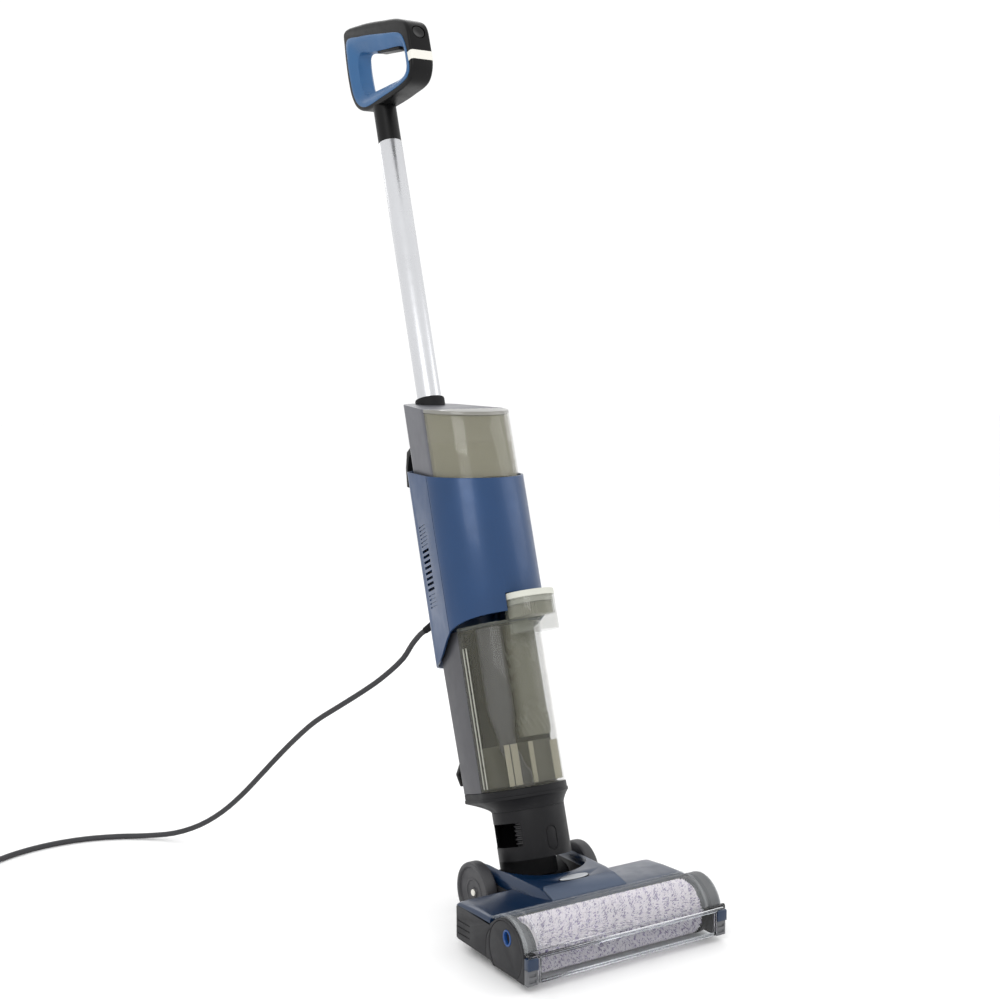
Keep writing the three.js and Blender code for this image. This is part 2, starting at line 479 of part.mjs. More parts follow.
function buildTanks() {
  const frontHalf = box(-80, 80, -120, SEAM_Y - GAP / 2, 0, 700);
  const low = FLANGE.s2 + GAP;

  // Dirty tank: an open-topped clear tub, with the inlet column and the strainer in it.
  const rim = 299;
  const tub = prism(plan(PLAN.lower), low, rim).intersect(frontHalf);
  const tubRoom = prism(plan(PLAN.lower, 2.2), low + 2.4, rim + 5)
    .intersect(box(-80, 80, -120, SEAM_Y - 2.4, 0, 700));
  const inlet = rodZ(13.3, -6, NECK.y - 7, 100, 120, 24);
  add(upright, 'dirty_tank', tub.subtract(tubRoom).subtract(inlet), smoke);
  const inletColumn = (inset) => loft([
    [-6, -30, 13, low + 0.2], [-6, -30, 13, 122], [-13, -31, 10, 142], [-20, -32, 10, 158],
    [-22, -33, 16, 205], [-22, -33, 16, rim - 1],
  ].map(([x, y, r, z], i) => ({
    points: arc(x, y, r - inset, r - inset, 0, 345, 23),
    z: z + (inset && i === 0 ? -1 : 0) + (inset && i === 5 ? 1 : 0),
  })));
  add(upright, 'inlet_pipe', inletColumn(0).subtract(inletColumn(2)), darkGrey);
  add(upright, 'separator', rodZ(19.5, 13, -43, 166, rim - 1, 32).subtract(rodZ(17.5, 13, -43, 168, rim, 28)), olive);

  // Lid with the pouring collar, the filter and its pale frame, and the float.
  const lidPlate = prism(plan(PLAN.lower), rim + GAP, rim + 4).intersect(frontHalf);
  const collarRod = (inset, z0, z1, sides) => rodZ(COLLAR.r - inset, COLLAR.x, COLLAR.y, z0, z1, sides);
  const skirt = collarRod(0, rim - 14, 325, 40).subtract(prism(plan(PLAN.lower, -GAP), 200, rim + GAP));
  const collarIn = collarRod(2.4, rim + 4.5, 326, 36);
  const lid = lidPlate.add(skirt).subtract(collarIn).subtract(rodZ(14, 13, -43, 270, 310, 28));
  add(upright, 'dirty_tank_lid', lid, clear);
  add(upright, 'filter', collarRod(5, rim + 5.2, 318, 36).subtract(collarRod(19, 310, 320, 24)), white);
  add(upright, 'filter_frame', collarRod(0, 325.3, 332.8, 40).subtract(collarRod(6, 320, 329.6, 32))
    .add(collarRod(2.8, 318.6, 326.5, 36).subtract(collarRod(6, 310, 329.6, 32))), white);
  add(upright, 'float', rodZ(3.2, 37, -27, 235, 280, 14).add(rodZ(8, 37, -27, 226, 240, 20)), white);

  // Clean tank: clear front, grey column behind it around the tube, slanted lid.
  const s0 = 472.6;
  const top = slantCut(CLEAN_TOP[0], CLEAN_TOP[1], CLEAN_SLOPE, true);
  const column = prism(plan(PLAN.clean), s0, 610).subtract(top)
    .intersect(box(-80, 80, SEAM_Y - 6 + GAP / 2, 100, 0, 700));
  const tubeWay = rodZ(TUBE.r + GAP, 0, TUBE.y, 460, 620, 28);
  const pivotWay = rodY(5.3, 60, 90, 0, 543, 20);
  const ceiling = slantCut(CLEAN_TOP[0], CLEAN_TOP[1] - 3, CLEAN_SLOPE, true);
  const columnRoom = prism(plan(PLAN.clean, 3), s0 - 1, 610).subtract(ceiling)
    .intersect(box(-80, 80, SEAM_Y - 3, 100, 0, 700)).subtract(rodZ(TUBE.r + GAP + 2.4, 0, TUBE.y, 460, 620, 28));
  add(upright, 'tank_column', column.subtract(columnRoom).subtract(tubeWay).subtract(pivotWay), midGrey);
  const region = box(-80, 80, -120, SEAM_Y - 6 - GAP / 2, 0, 700);
  const lidUnder = slantCut(CLEAN_TOP[0], CLEAN_TOP[1] - 5, CLEAN_SLOPE, true);
  const cleanOut = prism(plan(PLAN.clean), s0, 610).subtract(lidUnder).intersect(region);
  const cleanIn = prism(plan(PLAN.clean, 2.2), s0 + 2.4, 620)
    .intersect(box(-80, 80, -120, SEAM_Y - 8.6, 0, 700));
  add(upright, 'clean_tank', cleanOut.subtract(cleanIn).subtract(rodZ(6.3, 0, -30, 460, 480, 20)), smoke);
  const lidAbove = slantCut(CLEAN_TOP[0], CLEAN_TOP[1] - 5 + GAP, CLEAN_SLOPE, false);
  add(upright, 'clean_tank_lid', prism(plan(PLAN.clean), s0, 610).subtract(top).subtract(lidAbove).intersect(region),
    smoke);
}

function buildHandle() {
  const { y, r, wall, s0, s1 } = TUBE;
  add(upright, 'tube', rodZ(r, 0, y, s0, s1, 36).subtract(rodZ(r - wall, 0, y, s0 - 1, s1 + 1, 32)), silver);
  const below = slantCut(CLEAN_TOP[0], CLEAN_TOP[1] + GAP, CLEAN_SLOPE, false);
  add(upright, 'tube_gasket', rodZ(r + 3.4, 0, y, 580, 606, 28).subtract(rodZ(r + GAP, 0, y, 570, 620, 28))
    .subtract(below), rubber);

  const loop = (points, steps) => new THREE.CatmullRomCurve3(
    points.map(([a, b]) => new THREE.Vector3(a, b, 0)), true, 'centripetal').getPoints(steps)
    .slice(0, -1).map((p) => at(p.x, p.y));
  const outer = loop([[110, 1137], [66, 1126], [6, 1101], [-34, 1082], [-52, 1066], [-55, 1040], [-52, 1010],
    [-38, 996], [0, 997], [48, 1004], [88, 1013], [106, 1026], [115, 1045], [118, 1072], [115, 1118]], 48);
  const middle = loop([[104, 1121], [69, 1110], [9, 1083.5], [-36, 1060], [-43, 1046], [-46, 1023], [-45, 1009],
    [-39, 1002], [-24, 1000], [34, 1007], [83, 1016], [99, 1028], [106, 1042], [109, 1064], [109, 1096]], 48);
  const inner = loop([[84, 1094], [56, 1082], [20, 1068], [-24, 1050], [-31, 1042], [-30, 1022], [-24, 1014],
    [-12, 1012], [18, 1018], [57, 1027], [86, 1036], [93, 1048], [95, 1066], [92, 1088]], 44);
  const triggerRoom = box(-8, 8, -32, 32, -6, 11.5).rotate([22, 0, 0]).translate([0, 14, 1066]);
  const buttonRoom = rodY(9.3, -14, 0, 0, 0, 28).rotate([-10, 0, 0]).translate([0, -46, 1054]);
  const sleeve = rodZ(r - GAP, 0, y, s1 + GAP, 1013, 32).add(rodZ(r - wall - GAP, 0, y, s1 - 20, s1 + 2, 32));
  const half = HANDLE.half - 1;
  const channel = slabX(inward(outer, WALL), -half + WALL, half - WALL);
  const shell = slabX(outer, -half, half).subtract(channel).add(sleeve).subtract(slabX(middle, -30, 30))
    .subtract(buttonRoom);
  add(upright, 'handle_shell', shell, black);
  const shrunk = inward(middle, GAP);
  const gripRoom = slabX(inward(shrunk, -1), -HANDLE.half + WALL, HANDLE.half - WALL)
    .subtract(slabX(inward(inner, -WALL), -30, 30));
  add(upright, 'handle_grip', slabX(shrunk, -HANDLE.half, HANDLE.half).subtract(slabX(inner, -30, 30))
    .subtract(gripRoom).subtract(triggerRoom), gripBlue);
  add(upright, 'spray_trigger', box(-7.5, 7.5, -30, 30, -3.5, 6).rotate([22, 0, 0]).translate([0, 14, 1066]), black);
  add(upright, 'power_button', rodY(8.8, -8, -3, 0, 0, 28).rotate([-10, 0, 0]).translate([0, -46, 1054]), black);
}

// ---------------------------------------------------------------- mains cord
const COIL = { x: -600, y: 326, mid: 54, half: 15.4, low: 1.7, high: 38 };
// Route of the cord that isn't coiled, from the relief's tip to the coil: hand-chosen points.
const ROUTE = [
  [-33, 67, 307], [-36, 72.6, 302.2], [-42.5, 82, 289], [-51, 92, 269], [-71, 114, 241.5], [-88, 133, 223],
  [-109, 157, 202], [-132, 183, 179], [-150, 205, 154], [-167, 226, 127], [-184, 246, 99], [-201, 267, 71],
  [-220, 290, 45], [-242, 315, 24], [-268, 342, 10], [-298, 367, 4.8], [-332, 388, 3.8], [-372, 401, 3.8],
  [-414, 403, 3.8], [-454, 395, 3.8], [-490, 380, 3.8], [-521, 363, 3.8], [-536.6, 355.3, 3.8],
];

function buildCord() {
  const points = ROUTE.map((p) => new THREE.Vector3(...p));
  const line = new THREE.CatmullRomCurve3(points, false, 'centripetal');
  const section = new THREE.Shape(arc(0, 0, CORD.d / 2, CORD.d / 2, 0, 324, 9));
  add(scrubber, 'cord', new THREE.ExtrudeGeometry(section, { steps: 48, extrudePath: line, bevelEnabled: false }),
    rubber);

  // Tapered strain relief from the rear shell to the start of the cord.
  const mouth = upright.localToWorld(new THREE.Vector3(...CORD.exit));
  const start = points[0].clone();
  const along = start.clone().sub(points[1]).normalize();
  const tip = start.clone().addScaledVector(along, 2 * GAP);
  const length = mouth.distanceTo(tip);
  const taper = new THREE.CylinderGeometry(5.8, 4.6, length, 20);
  taper.rotateX(Math.PI / 2);
  const relief = new THREE.Mesh(taper);
  relief.position.copy(mouth).lerp(tip, 0.5);
  relief.lookAt(mouth);
  relief.updateMatrixWorld();
  taper.applyMatrix4(relief.matrixWorld);
  add(scrubber, 'cord_relief', taper, rubber);

  // The rest of the cord wound in a coil on the floor, its tie, and the plug lying on it.
  const { x, y, mid, half, low, high } = COIL;
  add(scrubber, 'cord_coil', turned([[mid - half, low], [mid + half, low], [mid + half, high],
    [mid - half, high], [mid - half, low]], x, y, 36), rubber);
  const tieRoom = box(x - mid - half - 0.6, x - mid + half + 1, y - 7, y + 7, low - GAP, high + GAP);
  add(scrubber, 'cord_tie', box(x - mid - half - 1.8, x - mid + half + 2.2, y - 4, y + 4, low - 1.5, high + 1.5)
    .subtract(tieRoom), black);
  const flat = high + GAP;
  const middle = y - mid;
  const body = box(x - 24, x + 24, middle - 16, middle + 16, flat, flat + 18);
  const prong = (side) => box(x - 41, x - 20, middle + side - 0.8, middle + side + 0.8, flat + 6, flat + 12);
  add(scrubber, 'plug', wasm.Manifold.union([body, prong(-6.4), prong(6.4)]), rubber);
}

buildHead();
buildDrive();
buildBrushCover();
buildYoke();
buildNeck();
buildBody();
buildTanks();
buildHandle();
scrubber.updateMatrixWorld(true);
buildCord();

export default scrubber;
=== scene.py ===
"""Wet and dry floor scrubber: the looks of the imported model, its floor, light and camera."""
import json
import math
import random

import bmesh
import bpy
from mathutils import Matrix, Vector


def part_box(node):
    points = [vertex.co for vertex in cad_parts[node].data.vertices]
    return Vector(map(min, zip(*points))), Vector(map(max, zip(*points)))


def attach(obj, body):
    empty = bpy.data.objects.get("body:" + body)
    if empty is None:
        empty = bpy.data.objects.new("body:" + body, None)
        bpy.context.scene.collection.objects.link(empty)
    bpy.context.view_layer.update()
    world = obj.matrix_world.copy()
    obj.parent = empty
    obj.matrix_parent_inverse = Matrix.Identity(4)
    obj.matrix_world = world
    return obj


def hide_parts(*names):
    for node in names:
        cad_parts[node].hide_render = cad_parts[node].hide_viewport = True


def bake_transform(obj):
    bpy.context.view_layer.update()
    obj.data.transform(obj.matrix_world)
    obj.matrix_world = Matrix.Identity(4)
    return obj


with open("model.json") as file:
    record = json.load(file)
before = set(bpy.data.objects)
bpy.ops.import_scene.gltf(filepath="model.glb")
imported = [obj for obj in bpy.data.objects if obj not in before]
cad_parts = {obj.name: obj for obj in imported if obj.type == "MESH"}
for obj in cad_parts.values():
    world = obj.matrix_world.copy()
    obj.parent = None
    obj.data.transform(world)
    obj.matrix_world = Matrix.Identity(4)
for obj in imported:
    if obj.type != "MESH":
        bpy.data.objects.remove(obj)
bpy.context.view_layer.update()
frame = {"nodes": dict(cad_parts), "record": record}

# ---------------------------------------------------------------- sizes, in millimetres
JOINT = {j["name"]: j for j in frame["record"]["behaviour"]["joints"]}
AXLE = Vector(JOINT["recline"]["pos_m"])
UP_AXIS = JOINT["impeller_spin"]["axis"]
LEAN = math.atan2(UP_AXIS[1], UP_AXIS[2])
MM = Matrix.Scale(0.001, 4)
HEAD = Matrix.Translation((0, AXLE.y, 0)) @ MM
UPRIGHT = Matrix.Translation(AXLE) @ Matrix.Rotation(-LEAN, 4, "X") @ MM
WORLD = MM
GAP = 0.3
COLLAR_X, COLLAR_Y, COLLAR_R = 17, -70, 31
SEAM_Y = -14
PLAN = {
    "shell": dict(half=64, front=-74, wide=SEAM_Y, back_half=50, back_y=50, rear=80),
    "base": dict(half=54, front=-70, wide=SEAM_Y, back_half=45, back_y=40, rear=60),
    "lower": dict(half=54, front=-70, wide=SEAM_Y, back_half=45, back_y=46, rear=68),
    "clean": dict(half=58, front=-70.5, wide=SEAM_Y, back_half=41, back_y=50, rear=77),
}
BRUSH_Y, BRUSH_Z, BRUSH_R = -156, 32, 31
TUBE_Y, TUBE_R = 58, 15.5
RIM_SLOPE = 0.3
CLEAN_SLOPE = 0.35

# ---------------------------------------------------------------- camera
CAMERA_FROM_AXLE = Vector((-0.9257, -1.4004, 0.6448))
CAMERA_YAW = -32.3
CAMERA_PITCH = -5.4
LENS = 52.64


def make_camera():
    data = bpy.data.cameras.new("camera")
    data.lens = LENS
    data.sensor_width = 36
    data.clip_end = 50
    camera = bpy.data.objects.new("camera", data)
    camera.location = (CAMERA_FROM_AXLE.x, AXLE.y + CAMERA_FROM_AXLE.y, CAMERA_FROM_AXLE.z)
    camera.rotation_euler = (math.radians(90 + CAMERA_PITCH), 0, math.radians(CAMERA_YAW))
    bpy.context.collection.objects.link(camera)
    bpy.context.scene.camera = camera


# ---------------------------------------------------------------- materials
def nodes_of(material):
    tree = material.node_tree
    return tree, tree.nodes, tree.links, tree.nodes["Principled BSDF"]


def noise(tree, scale, detail=3, stretch=(1, 1, 1)):
    """A noise texture in object coordinates, whose grain is scale per metre."""
    coordinates = tree.nodes.new("ShaderNodeTexCoord")
    mapping = tree.nodes.new("ShaderNodeMapping")
    mapping.inputs["Scale"].default_value = stretch
    texture = tree.nodes.new("ShaderNodeTexNoise")
    texture.inputs["Scale"].default_value = scale
    texture.inputs["Detail"].default_value = detail
    tree.links.new(coordinates.outputs["Object"], mapping.inputs["Vector"])
    tree.links.new(mapping.outputs["Vector"], texture.inputs["Vector"])
    return texture


def spread(tree, source, low, high, start=0.35, stop=0.65):
    """A noise output mapped onto the range low to high."""
    ramp = tree.nodes.new("ShaderNodeMapRange")
    ramp.inputs["From Min"].default_value = start
    ramp.inputs["From Max"].default_value = stop
    ramp.inputs["To Min"].default_value = low
    ramp.inputs["To Max"].default_value = high
    tree.links.new(source, ramp.inputs["Value"])
    return ramp.outputs["Result"]


def mixed(tree, factor, a, b):
    """Two colours mixed by a factor output."""
    mix = tree.nodes.new("ShaderNodeMix")
    mix.data_type = "RGBA"
    mix.inputs["A"].default_value = (*a, 1)
    mix.inputs["B"].default_value = (*b, 1)
    tree.links.new(factor, mix.inputs["Factor"])
    return mix.outputs["Result"]


def bumped(tree, height, strength, distance=0.0002):
    bump = tree.nodes.new("ShaderNodeBump")
    bump.inputs["Strength"].default_value = strength
    bump.inputs["Distance"].default_value = distance
    tree.links.new(height, bump.inputs["Height"])
    tree.links.new(bump.outputs["Normal"], tree.nodes["Principled BSDF"].inputs["Normal"])


def srgb(code):
    """A hex colour as linear red, green and blue."""
    values = [int(code[i:i + 2], 16) / 255 for i in (0, 2, 4)]
    return tuple(v / 12.92 if v < 0.04045 else ((v + 0.055) / 1.055) ** 2.4 for v in values)


def shade(colour, factor):
    return tuple(min(1, c * factor) for c in colour)


def moulded(name, code, rough=(0.35, 0.45), grain=900, depth=0.25, metallic=0.0, coat=0.0, vary=0.12, **sockets):
    """Moulded plastic, rubber or metal: fine grain, and slow changes of colour and gloss."""
    material = bpy.data.materials.new(name)
    material.use_nodes = True
    tree, _, links, shader = nodes_of(material)
    colour = srgb(code)
    slow = noise(tree, 14, 4)
    fine = noise(tree, grain, 2)
    links.new(mixed(tree, spread(tree, slow.outputs["Fac"], 0, 1), shade(colour, 1 - vary), shade(colour, 1 + vary)),
              shader.inputs["Base Color"])
    links.new(spread(tree, noise(tree, 60, 5).outputs["Fac"], *rough), shader.inputs["Roughness"])
    bumped(tree, fine.outputs["Fac"], depth)
    shader.inputs["Metallic"].default_value = metallic
    shader.inputs["Coat Weight"].default_value = coat
    shader.inputs["Coat Roughness"].default_value = 0.15
    for socket, value in sockets.items():
        shader.inputs[socket.replace("_", " ")].default_value = value
    return material


def see_through(name, code, rough=0.04, grain=30, depth=0.05, alpha=None):
    """Clear or smoked moulding, slightly wavy: refracting, or a thin tinted wall when alpha is given."""
    material = bpy.data.materials.new(name)
    material.use_nodes = True
    tree, _, links, shader = nodes_of(material)
    colour = srgb(code)
    wave = noise(tree, grain, 2)
    links.new(mixed(tree, spread(tree, wave.outputs["Fac"], 0, 1), shade(colour, 0.97), shade(colour, 1.0)),
              shader.inputs["Base Color"])
    links.new(spread(tree, noise(tree, 90, 4).outputs["Fac"], rough, rough * 2.5), shader.inputs["Roughness"])
    bumped(tree, wave.outputs["Fac"], depth, 0.001)
    if alpha is None:
        shader.inputs["Transmission Weight"].default_value = 1.0
        shader.inputs["IOR"].default_value = 1.25
    else:
        shader.inputs["Alpha"].default_value = alpha
        shader.inputs["Coat Weight"].default_value = 0.5
        shader.inputs["Coat Roughness"].default_value = 0.05
    return material


MATT = {"Specular_IOR_Level": 0.18}
MAT = {
    "blue": moulded("blue_shell", "0d3660", (0.32, 0.4), 1500, 0.08, metallic=0.3, coat=0.2, vary=0.05),
    "navy": moulded("navy_cover", "02213f", (0.28, 0.36), 1500, 0.08, metallic=0.2, coat=0.25, vary=0.06),
    "grip_blue": moulded("grip_blue", "2a5986", (0.40, 0.48), 1300, 0.15, metallic=0.15, vary=0.05),
    "dark_grey": moulded("dark_grey", "18181a", (0.42, 0.52), 1100, 0.3, vary=0.06, **MATT),
    "cheek_grey": moulded("cheek_grey", "2a2a2c", (0.42, 0.52), 1100, 0.3, vary=0.06, **MATT),
    "spine_grey": moulded("spine_grey", "48484c", (0.40, 0.48), 1100, 0.2, metallic=0.3, vary=0.05),
    "mid_grey": moulded("mid_grey", "5c5d60", (0.42, 0.5), 1100, 0.3, vary=0.05),
    "black": moulded("black", "0d0d0e", (0.34, 0.42), 1200, 0.2, vary=0.1, **MATT),
    "gloss_black": moulded("gloss_black", "0b0b0c", (0.14, 0.22), 900, 0.05, coat=0.4, vary=0.1, **MATT),
    "rubber": moulded("rubber", "19191b", (0.55, 0.7), 1500, 0.4, vary=0.12, **MATT),
    "cord": moulded("cord_rubber", "2a2a2d", (0.5, 0.6), 1800, 0.3, vary=0.08),
    "hose": moulded("hose_rubber", "29292b", (0.35, 0.45), 1400, 0.2, vary=0.1),
    "white": moulded("white_plastic", "dedcd4", (0.4, 0.5), 900, 0.15, vary=0.02),
    "cream": moulded("cream_seal", "c6c7bd", (0.5, 0.6), 900, 0.2, vary=0.03),
    "silver": moulded("silver_paint", "a9acb0", (0.30, 0.38), 1500, 0.1, metallic=0.6, vary=0.04),
    "tube": moulded("tube_aluminium", "cfd0d3", (0.26, 0.34), 1600, 0.08, metallic=0.85, vary=0.02),
    "steel": moulded("steel", "b5b8bc", (0.25, 0.4), 1000, 0.2, metallic=1.0, vary=0.05),
    "smoke": see_through("smoke", "6b6a5c", 0.06, alpha=0.18),
    "smoke_pale": see_through("smoke_pale", "9a9784", 0.06, alpha=0.34),
    "smoke_edge": see_through("smoke_edge", "8f8e87", 0.08, alpha=0.7),
    "tint": see_through("tint", "83857a", 0.05, alpha=0.3),
    "clear": see_through("clear", "eef0f2", 0.03),
    "hood_clear": see_through("hood_clear", "dfe3e6", 0.05, alpha=0.09),
    "olive": moulded("olive_tube", "6f6f62", (0.2, 0.3), 900, 0.05, coat=0.3, vary=0.05),
    "chamber": moulded("chamber_pale", "a6a28e", (0.3, 0.4), 900, 0.05, coat=0.2, vary=0.06),
    # The next colour is a darker copy of chamber_pale: painted shade for the walls deep inside the dirty tank.
    "chamber_dark": moulded("chamber_dark", "55544a", (0.3, 0.4), 900, 0.05, coat=0.2, vary=0.06),
    "tank_shade": moulded("tank_shade", "17171a", (0.4, 0.5), 900, 0.1, vary=0.1, **MATT),
    "tank_column": moulded("tank_column_grey", "4b4b50", (0.3, 0.4), 1100, 0.1, metallic=0.2, vary=0.05),
    "tank_rib": moulded("tank_rib", "93948a", (0.25, 0.35), 900, 0.05, coat=0.3, vary=0.04),
    "water": see_through("water", "77745f", 0.03, alpha=0.3),
    "pile_light": moulded("pile_light", "f8f3f8", (0.85, 0.95), 2500, 0.2, vary=0.04),
    "pile_dark": moulded("pile_dark", "a79cba", (0.85, 0.95), 2500, 0.2, vary=0.15),
    "filter": moulded("filter_paper", "a5a292", (0.8, 0.9), 1800, 0.4, vary=0.05),
    "slate": moulded("slate_plate", "445064", (0.34, 0.42), 1300, 0.12, metallic=0.2, vary=0.05),
    "ring_blue": moulded("ring_blue", "12407c", (0.3, 0.38), 1300, 0.1, vary=0.05),
    "wheel": moulded("wheel_rubber", "333336", (0.45, 0.55), 1200, 0.3, vary=0.08),
    "column_grey": moulded("column_grey", "5e5f65", (0.36, 0.44), 1100, 0.2, metallic=0.35, vary=0.05),
    "board": moulded("circuit_board", "2f6b3f", (0.4, 0.5), 700, 0.3, vary=0.15),
}


# ---------------------------------------------------------------- outlines
def arc(cx, cy, rx, ry, start, stop, steps):
    """Points along part of an ellipse, angles in degrees."""
    out = []
    for i in range(steps + 1):
        t = math.radians(start + (stop - start) * i / steps)
        out.append((cx + rx * math.cos(t), cy + ry * math.sin(t)))
    return out


def plan(p, inset=0, front_steps=64, back_steps=40):
    """The body's plan: a half ellipse in front and a flatter round back."""
    front = arc(0, p["wide"], p["half"] - inset, p["wide"] - p["front"] - inset, 180, 360, front_steps)
    back = arc(0, p["back_y"], p["back_half"] - inset, p["rear"] - p["back_y"] - inset, 0, 180, back_steps)
    return front + back


def spline(points, per=6, closed=True):
    """A smooth line through 2-D or 3-D points, centripetal."""
    pts = [Vector(p).to_3d() for p in points]
    n = len(pts)
    out = []
    spans = n if closed else n - 1
    for i in range(spans):
        if closed:
            p0, p1, p2, p3 = pts[i - 1], pts[i], pts[(i + 1) % n], pts[(i + 2) % n]
        else:
            p1, p2 = pts[i], pts[i + 1]
            p0 = pts[i - 1] if i else p1 * 2 - p2
            p3 = pts[i + 2] if i + 2 < n else p2 * 2 - p1
        t0 = 0
        t1 = t0 + max(1e-6, (p1 - p0).length ** 0.5)
        t2 = t1 + max(1e-6, (p2 - p1).length ** 0.5)
        t3 = t2 + max(1e-6, (p3 - p2).length ** 0.5)
        for k in range(per):
            t = t1 + (t2 - t1) * k / per
            a1 = p0 * ((t1 - t) / (t1 - t0)) + p1 * ((t - t0) / (t1 - t0))
            a2 = p1 * ((t2 - t) / (t2 - t1)) + p2 * ((t - t1) / (t2 - t1))
            a3 = p2 * ((t3 - t) / (t3 - t2)) + p3 * ((t - t2) / (t3 - t2))
            b1 = a1 * ((t2 - t) / (t2 - t0)) + a2 * ((t - t0) / (t2 - t0))
            b2 = a2 * ((t3 - t) / (t3 - t1)) + a3 * ((t - t1) / (t3 - t1))
            out.append(b1 * ((t2 - t) / (t2 - t1)) + b2 * ((t - t1) / (t2 - t1)))
    if not closed:
        out.append(pts[-1])
    return out


def inward(points, distance):
    """A closed outline moved inwards by a distance, or outwards when it is negative."""
    pts = [Vector(p[:2]) for p in points]
    middle = sum(pts, Vector((0, 0))) / len(pts)
    out = []
    for i, p in enumerate(pts):
        along = pts[(i + 1) % len(pts)] - pts[i - 1]
        normal = Vector((-along.y, along.x)).normalized()
        if normal.dot(middle - p) < 0:
            normal.negate()
        out.append(tuple(p + normal * distance))
    return out


# ---------------------------------------------------------------- shapes
def shape(verts, faces):
    """A linked mesh object with outward normals."""
    mesh = bpy.data.meshes.new("shape")
    mesh.from_pydata([tuple(v) for v in verts], [], faces)
    work = bmesh.new()
    work.from_mesh(mesh)
    bmesh.ops.remove_doubles(work, verts=work.verts, dist=1e-4)
    bmesh.ops.recalc_face_normals(work, faces=work.faces)
    work.to_mesh(mesh)
    work.free()
    made = bpy.data.objects.new("shape", mesh)
    bpy.context.collection.objects.link(made)
    return made


def skin(rings, closed=False):
    """A skin through rings of equal length, with flat ends unless it closes on itself."""
    count = len(rings[0])
    verts = [v for ring in rings for v in ring]
    faces = []
    spans = len(rings) if closed else len(rings) - 1
    for k in range(spans):
        a0 = k * count
        b0 = ((k + 1) % len(rings)) * count
        for i in range(count):
            j = (i + 1) % count
            faces.append((a0 + i, a0 + j, b0 + j, b0 + i))
    if not closed:
        faces.append(tuple(range(count - 1, -1, -1)))
        faces.append(tuple((len(rings) - 1) * count + i for i in range(count)))
    return shape(verts, faces)


def prism(points, z0, z1):
    return skin([[(p[0], p[1], z) for p in points] for z in (z0, z1)])


def slab(points, x0, x1):
    """A side outline (y, z) pushed along X."""
    return skin([[(x, p[0], p[1]) for p in points] for x in (x0, x1)])


def box(x0, x1, y0, y1, z0, z1):
    return prism([(x0, y0), (x1, y0), (x1, y1), (x0, y1)], z0, z1)


def lathe(profile, x=0, y=0, sides=72, axis="Z"):
    """A closed profile of (radius, height) turned about an axis through x, y (or y, z for axis X)."""
    rings = []
    for i in range(sides):
        t = 2 * math.pi * i / sides
        c, s = math.cos(t), math.sin(t)
        if axis == "Z":
            rings.append([(x + r * c, y + r * s, h) for r, h in profile])
        else:
            rings.append([(h, x + r * c, y + r * s) for r, h in profile])
    return skin(rings, closed=True)


def disc(r, x, y, z0, z1, sides=72):
    return prism(arc(x, y, r, r, 0, 360 - 360 / sides, sides - 1), z0, z1)


def rod(r, x0, x1, y, z, sides=48):
    return slab(arc(y, z, r, r, 0, 360 - 360 / sides, sides - 1), x0, x1)


def rod_y(r, y0, y1, x, z, sides=48):
    ring = arc(x, z, r, r, 0, 360 - 360 / sides, sides - 1)
    return skin([[(px, y, pz) for px, pz in ring] for y in (y0, y1)])


def sweep(path, radius, sides=16, flat=1.0):
    """A round or oval section carried along a 3-D path. radius may be a function of 0 to 1."""
    path = [Vector(p) for p in path]
    rings = []
    side = None
    for i, p in enumerate(path):
        along = (path[min(i + 1, len(path) - 1)] - path[max(i - 1, 0)]).normalized()
        if side is None:
            side = along.orthogonal().normalized()
        side = (side - along * side.dot(along)).normalized()
        up = along.cross(side)
        r = radius(i / (len(path) - 1)) if callable(radius) else radius
        ring = []
        for k in range(sides):
            t = 2 * math.pi * k / sides
            ring.append(p + side * (r * math.cos(t)) + up * (r * flat * math.sin(t)))
        rings.append(ring)
    return skin(rings)


def bake(obj):
    """Applies the modifiers."""
    graph = bpy.context.evaluated_depsgraph_get()
    mesh = bpy.data.meshes.new_from_object(obj.evaluated_get(graph))
    old = obj.data
    obj.modifiers.clear()
    obj.data = mesh
    bpy.data.meshes.remove(old)
    return obj


def combine(obj, others, how):
    for other in others:
        step = obj.modifiers.new("step", "BOOLEAN")
        step.operation = how
        step.solver = "EXACT"
        step.object = other
    bake(obj)
    for other in others:
        bpy.data.objects.remove(other)
    return obj


def cut(obj, *others):
    return combine(obj, others, "DIFFERENCE")


def join(obj, *others):
    return combine(obj, others, "UNION")


def keep(obj, *others):
    return combine(obj, others, "INTERSECT")


def soften(obj, width, segments=3, angle=32):
    """Rounds the sharp edges."""
    work = bmesh.new()
    work.from_mesh(obj.data)
    bmesh.ops.remove_doubles(work, verts=work.verts, dist=1e-3)
    bmesh.ops.dissolve_limit(work, angle_limit=math.radians(0.5), verts=work.verts, edges=work.edges)
    work.to_mesh(obj.data)
    work.free()
    step = obj.modifiers.new("soften", "BEVEL")
    step.width = width
    step.segments = segments
    step.limit_method = "ANGLE"
    step.angle_limit = math.radians(angle)
    step.harden_normals = False
    return bake(obj)


def turn(obj, degrees, axis, about=(0, 0, 0)):
    about = Vector(about)
    obj.data.transform(Matrix.Translation(about) @ Matrix.Rotation(math.radians(degrees), 4, axis)
                       @ Matrix.Translation(-about))
    return obj


def merged(objects):
    """Loose shapes joined into one mesh object without a boolean."""
    work = bmesh.new()
    for o in objects:
        work.from_mesh(o.data)
    mesh = bpy.data.meshes.new("merged")
    work.to_mesh(mesh)
    work.free()
    for o in objects:
        bpy.data.objects.remove(o)
    made = bpy.data.objects.new("merged", mesh)
    bpy.context.collection.objects.link(made)
    return made


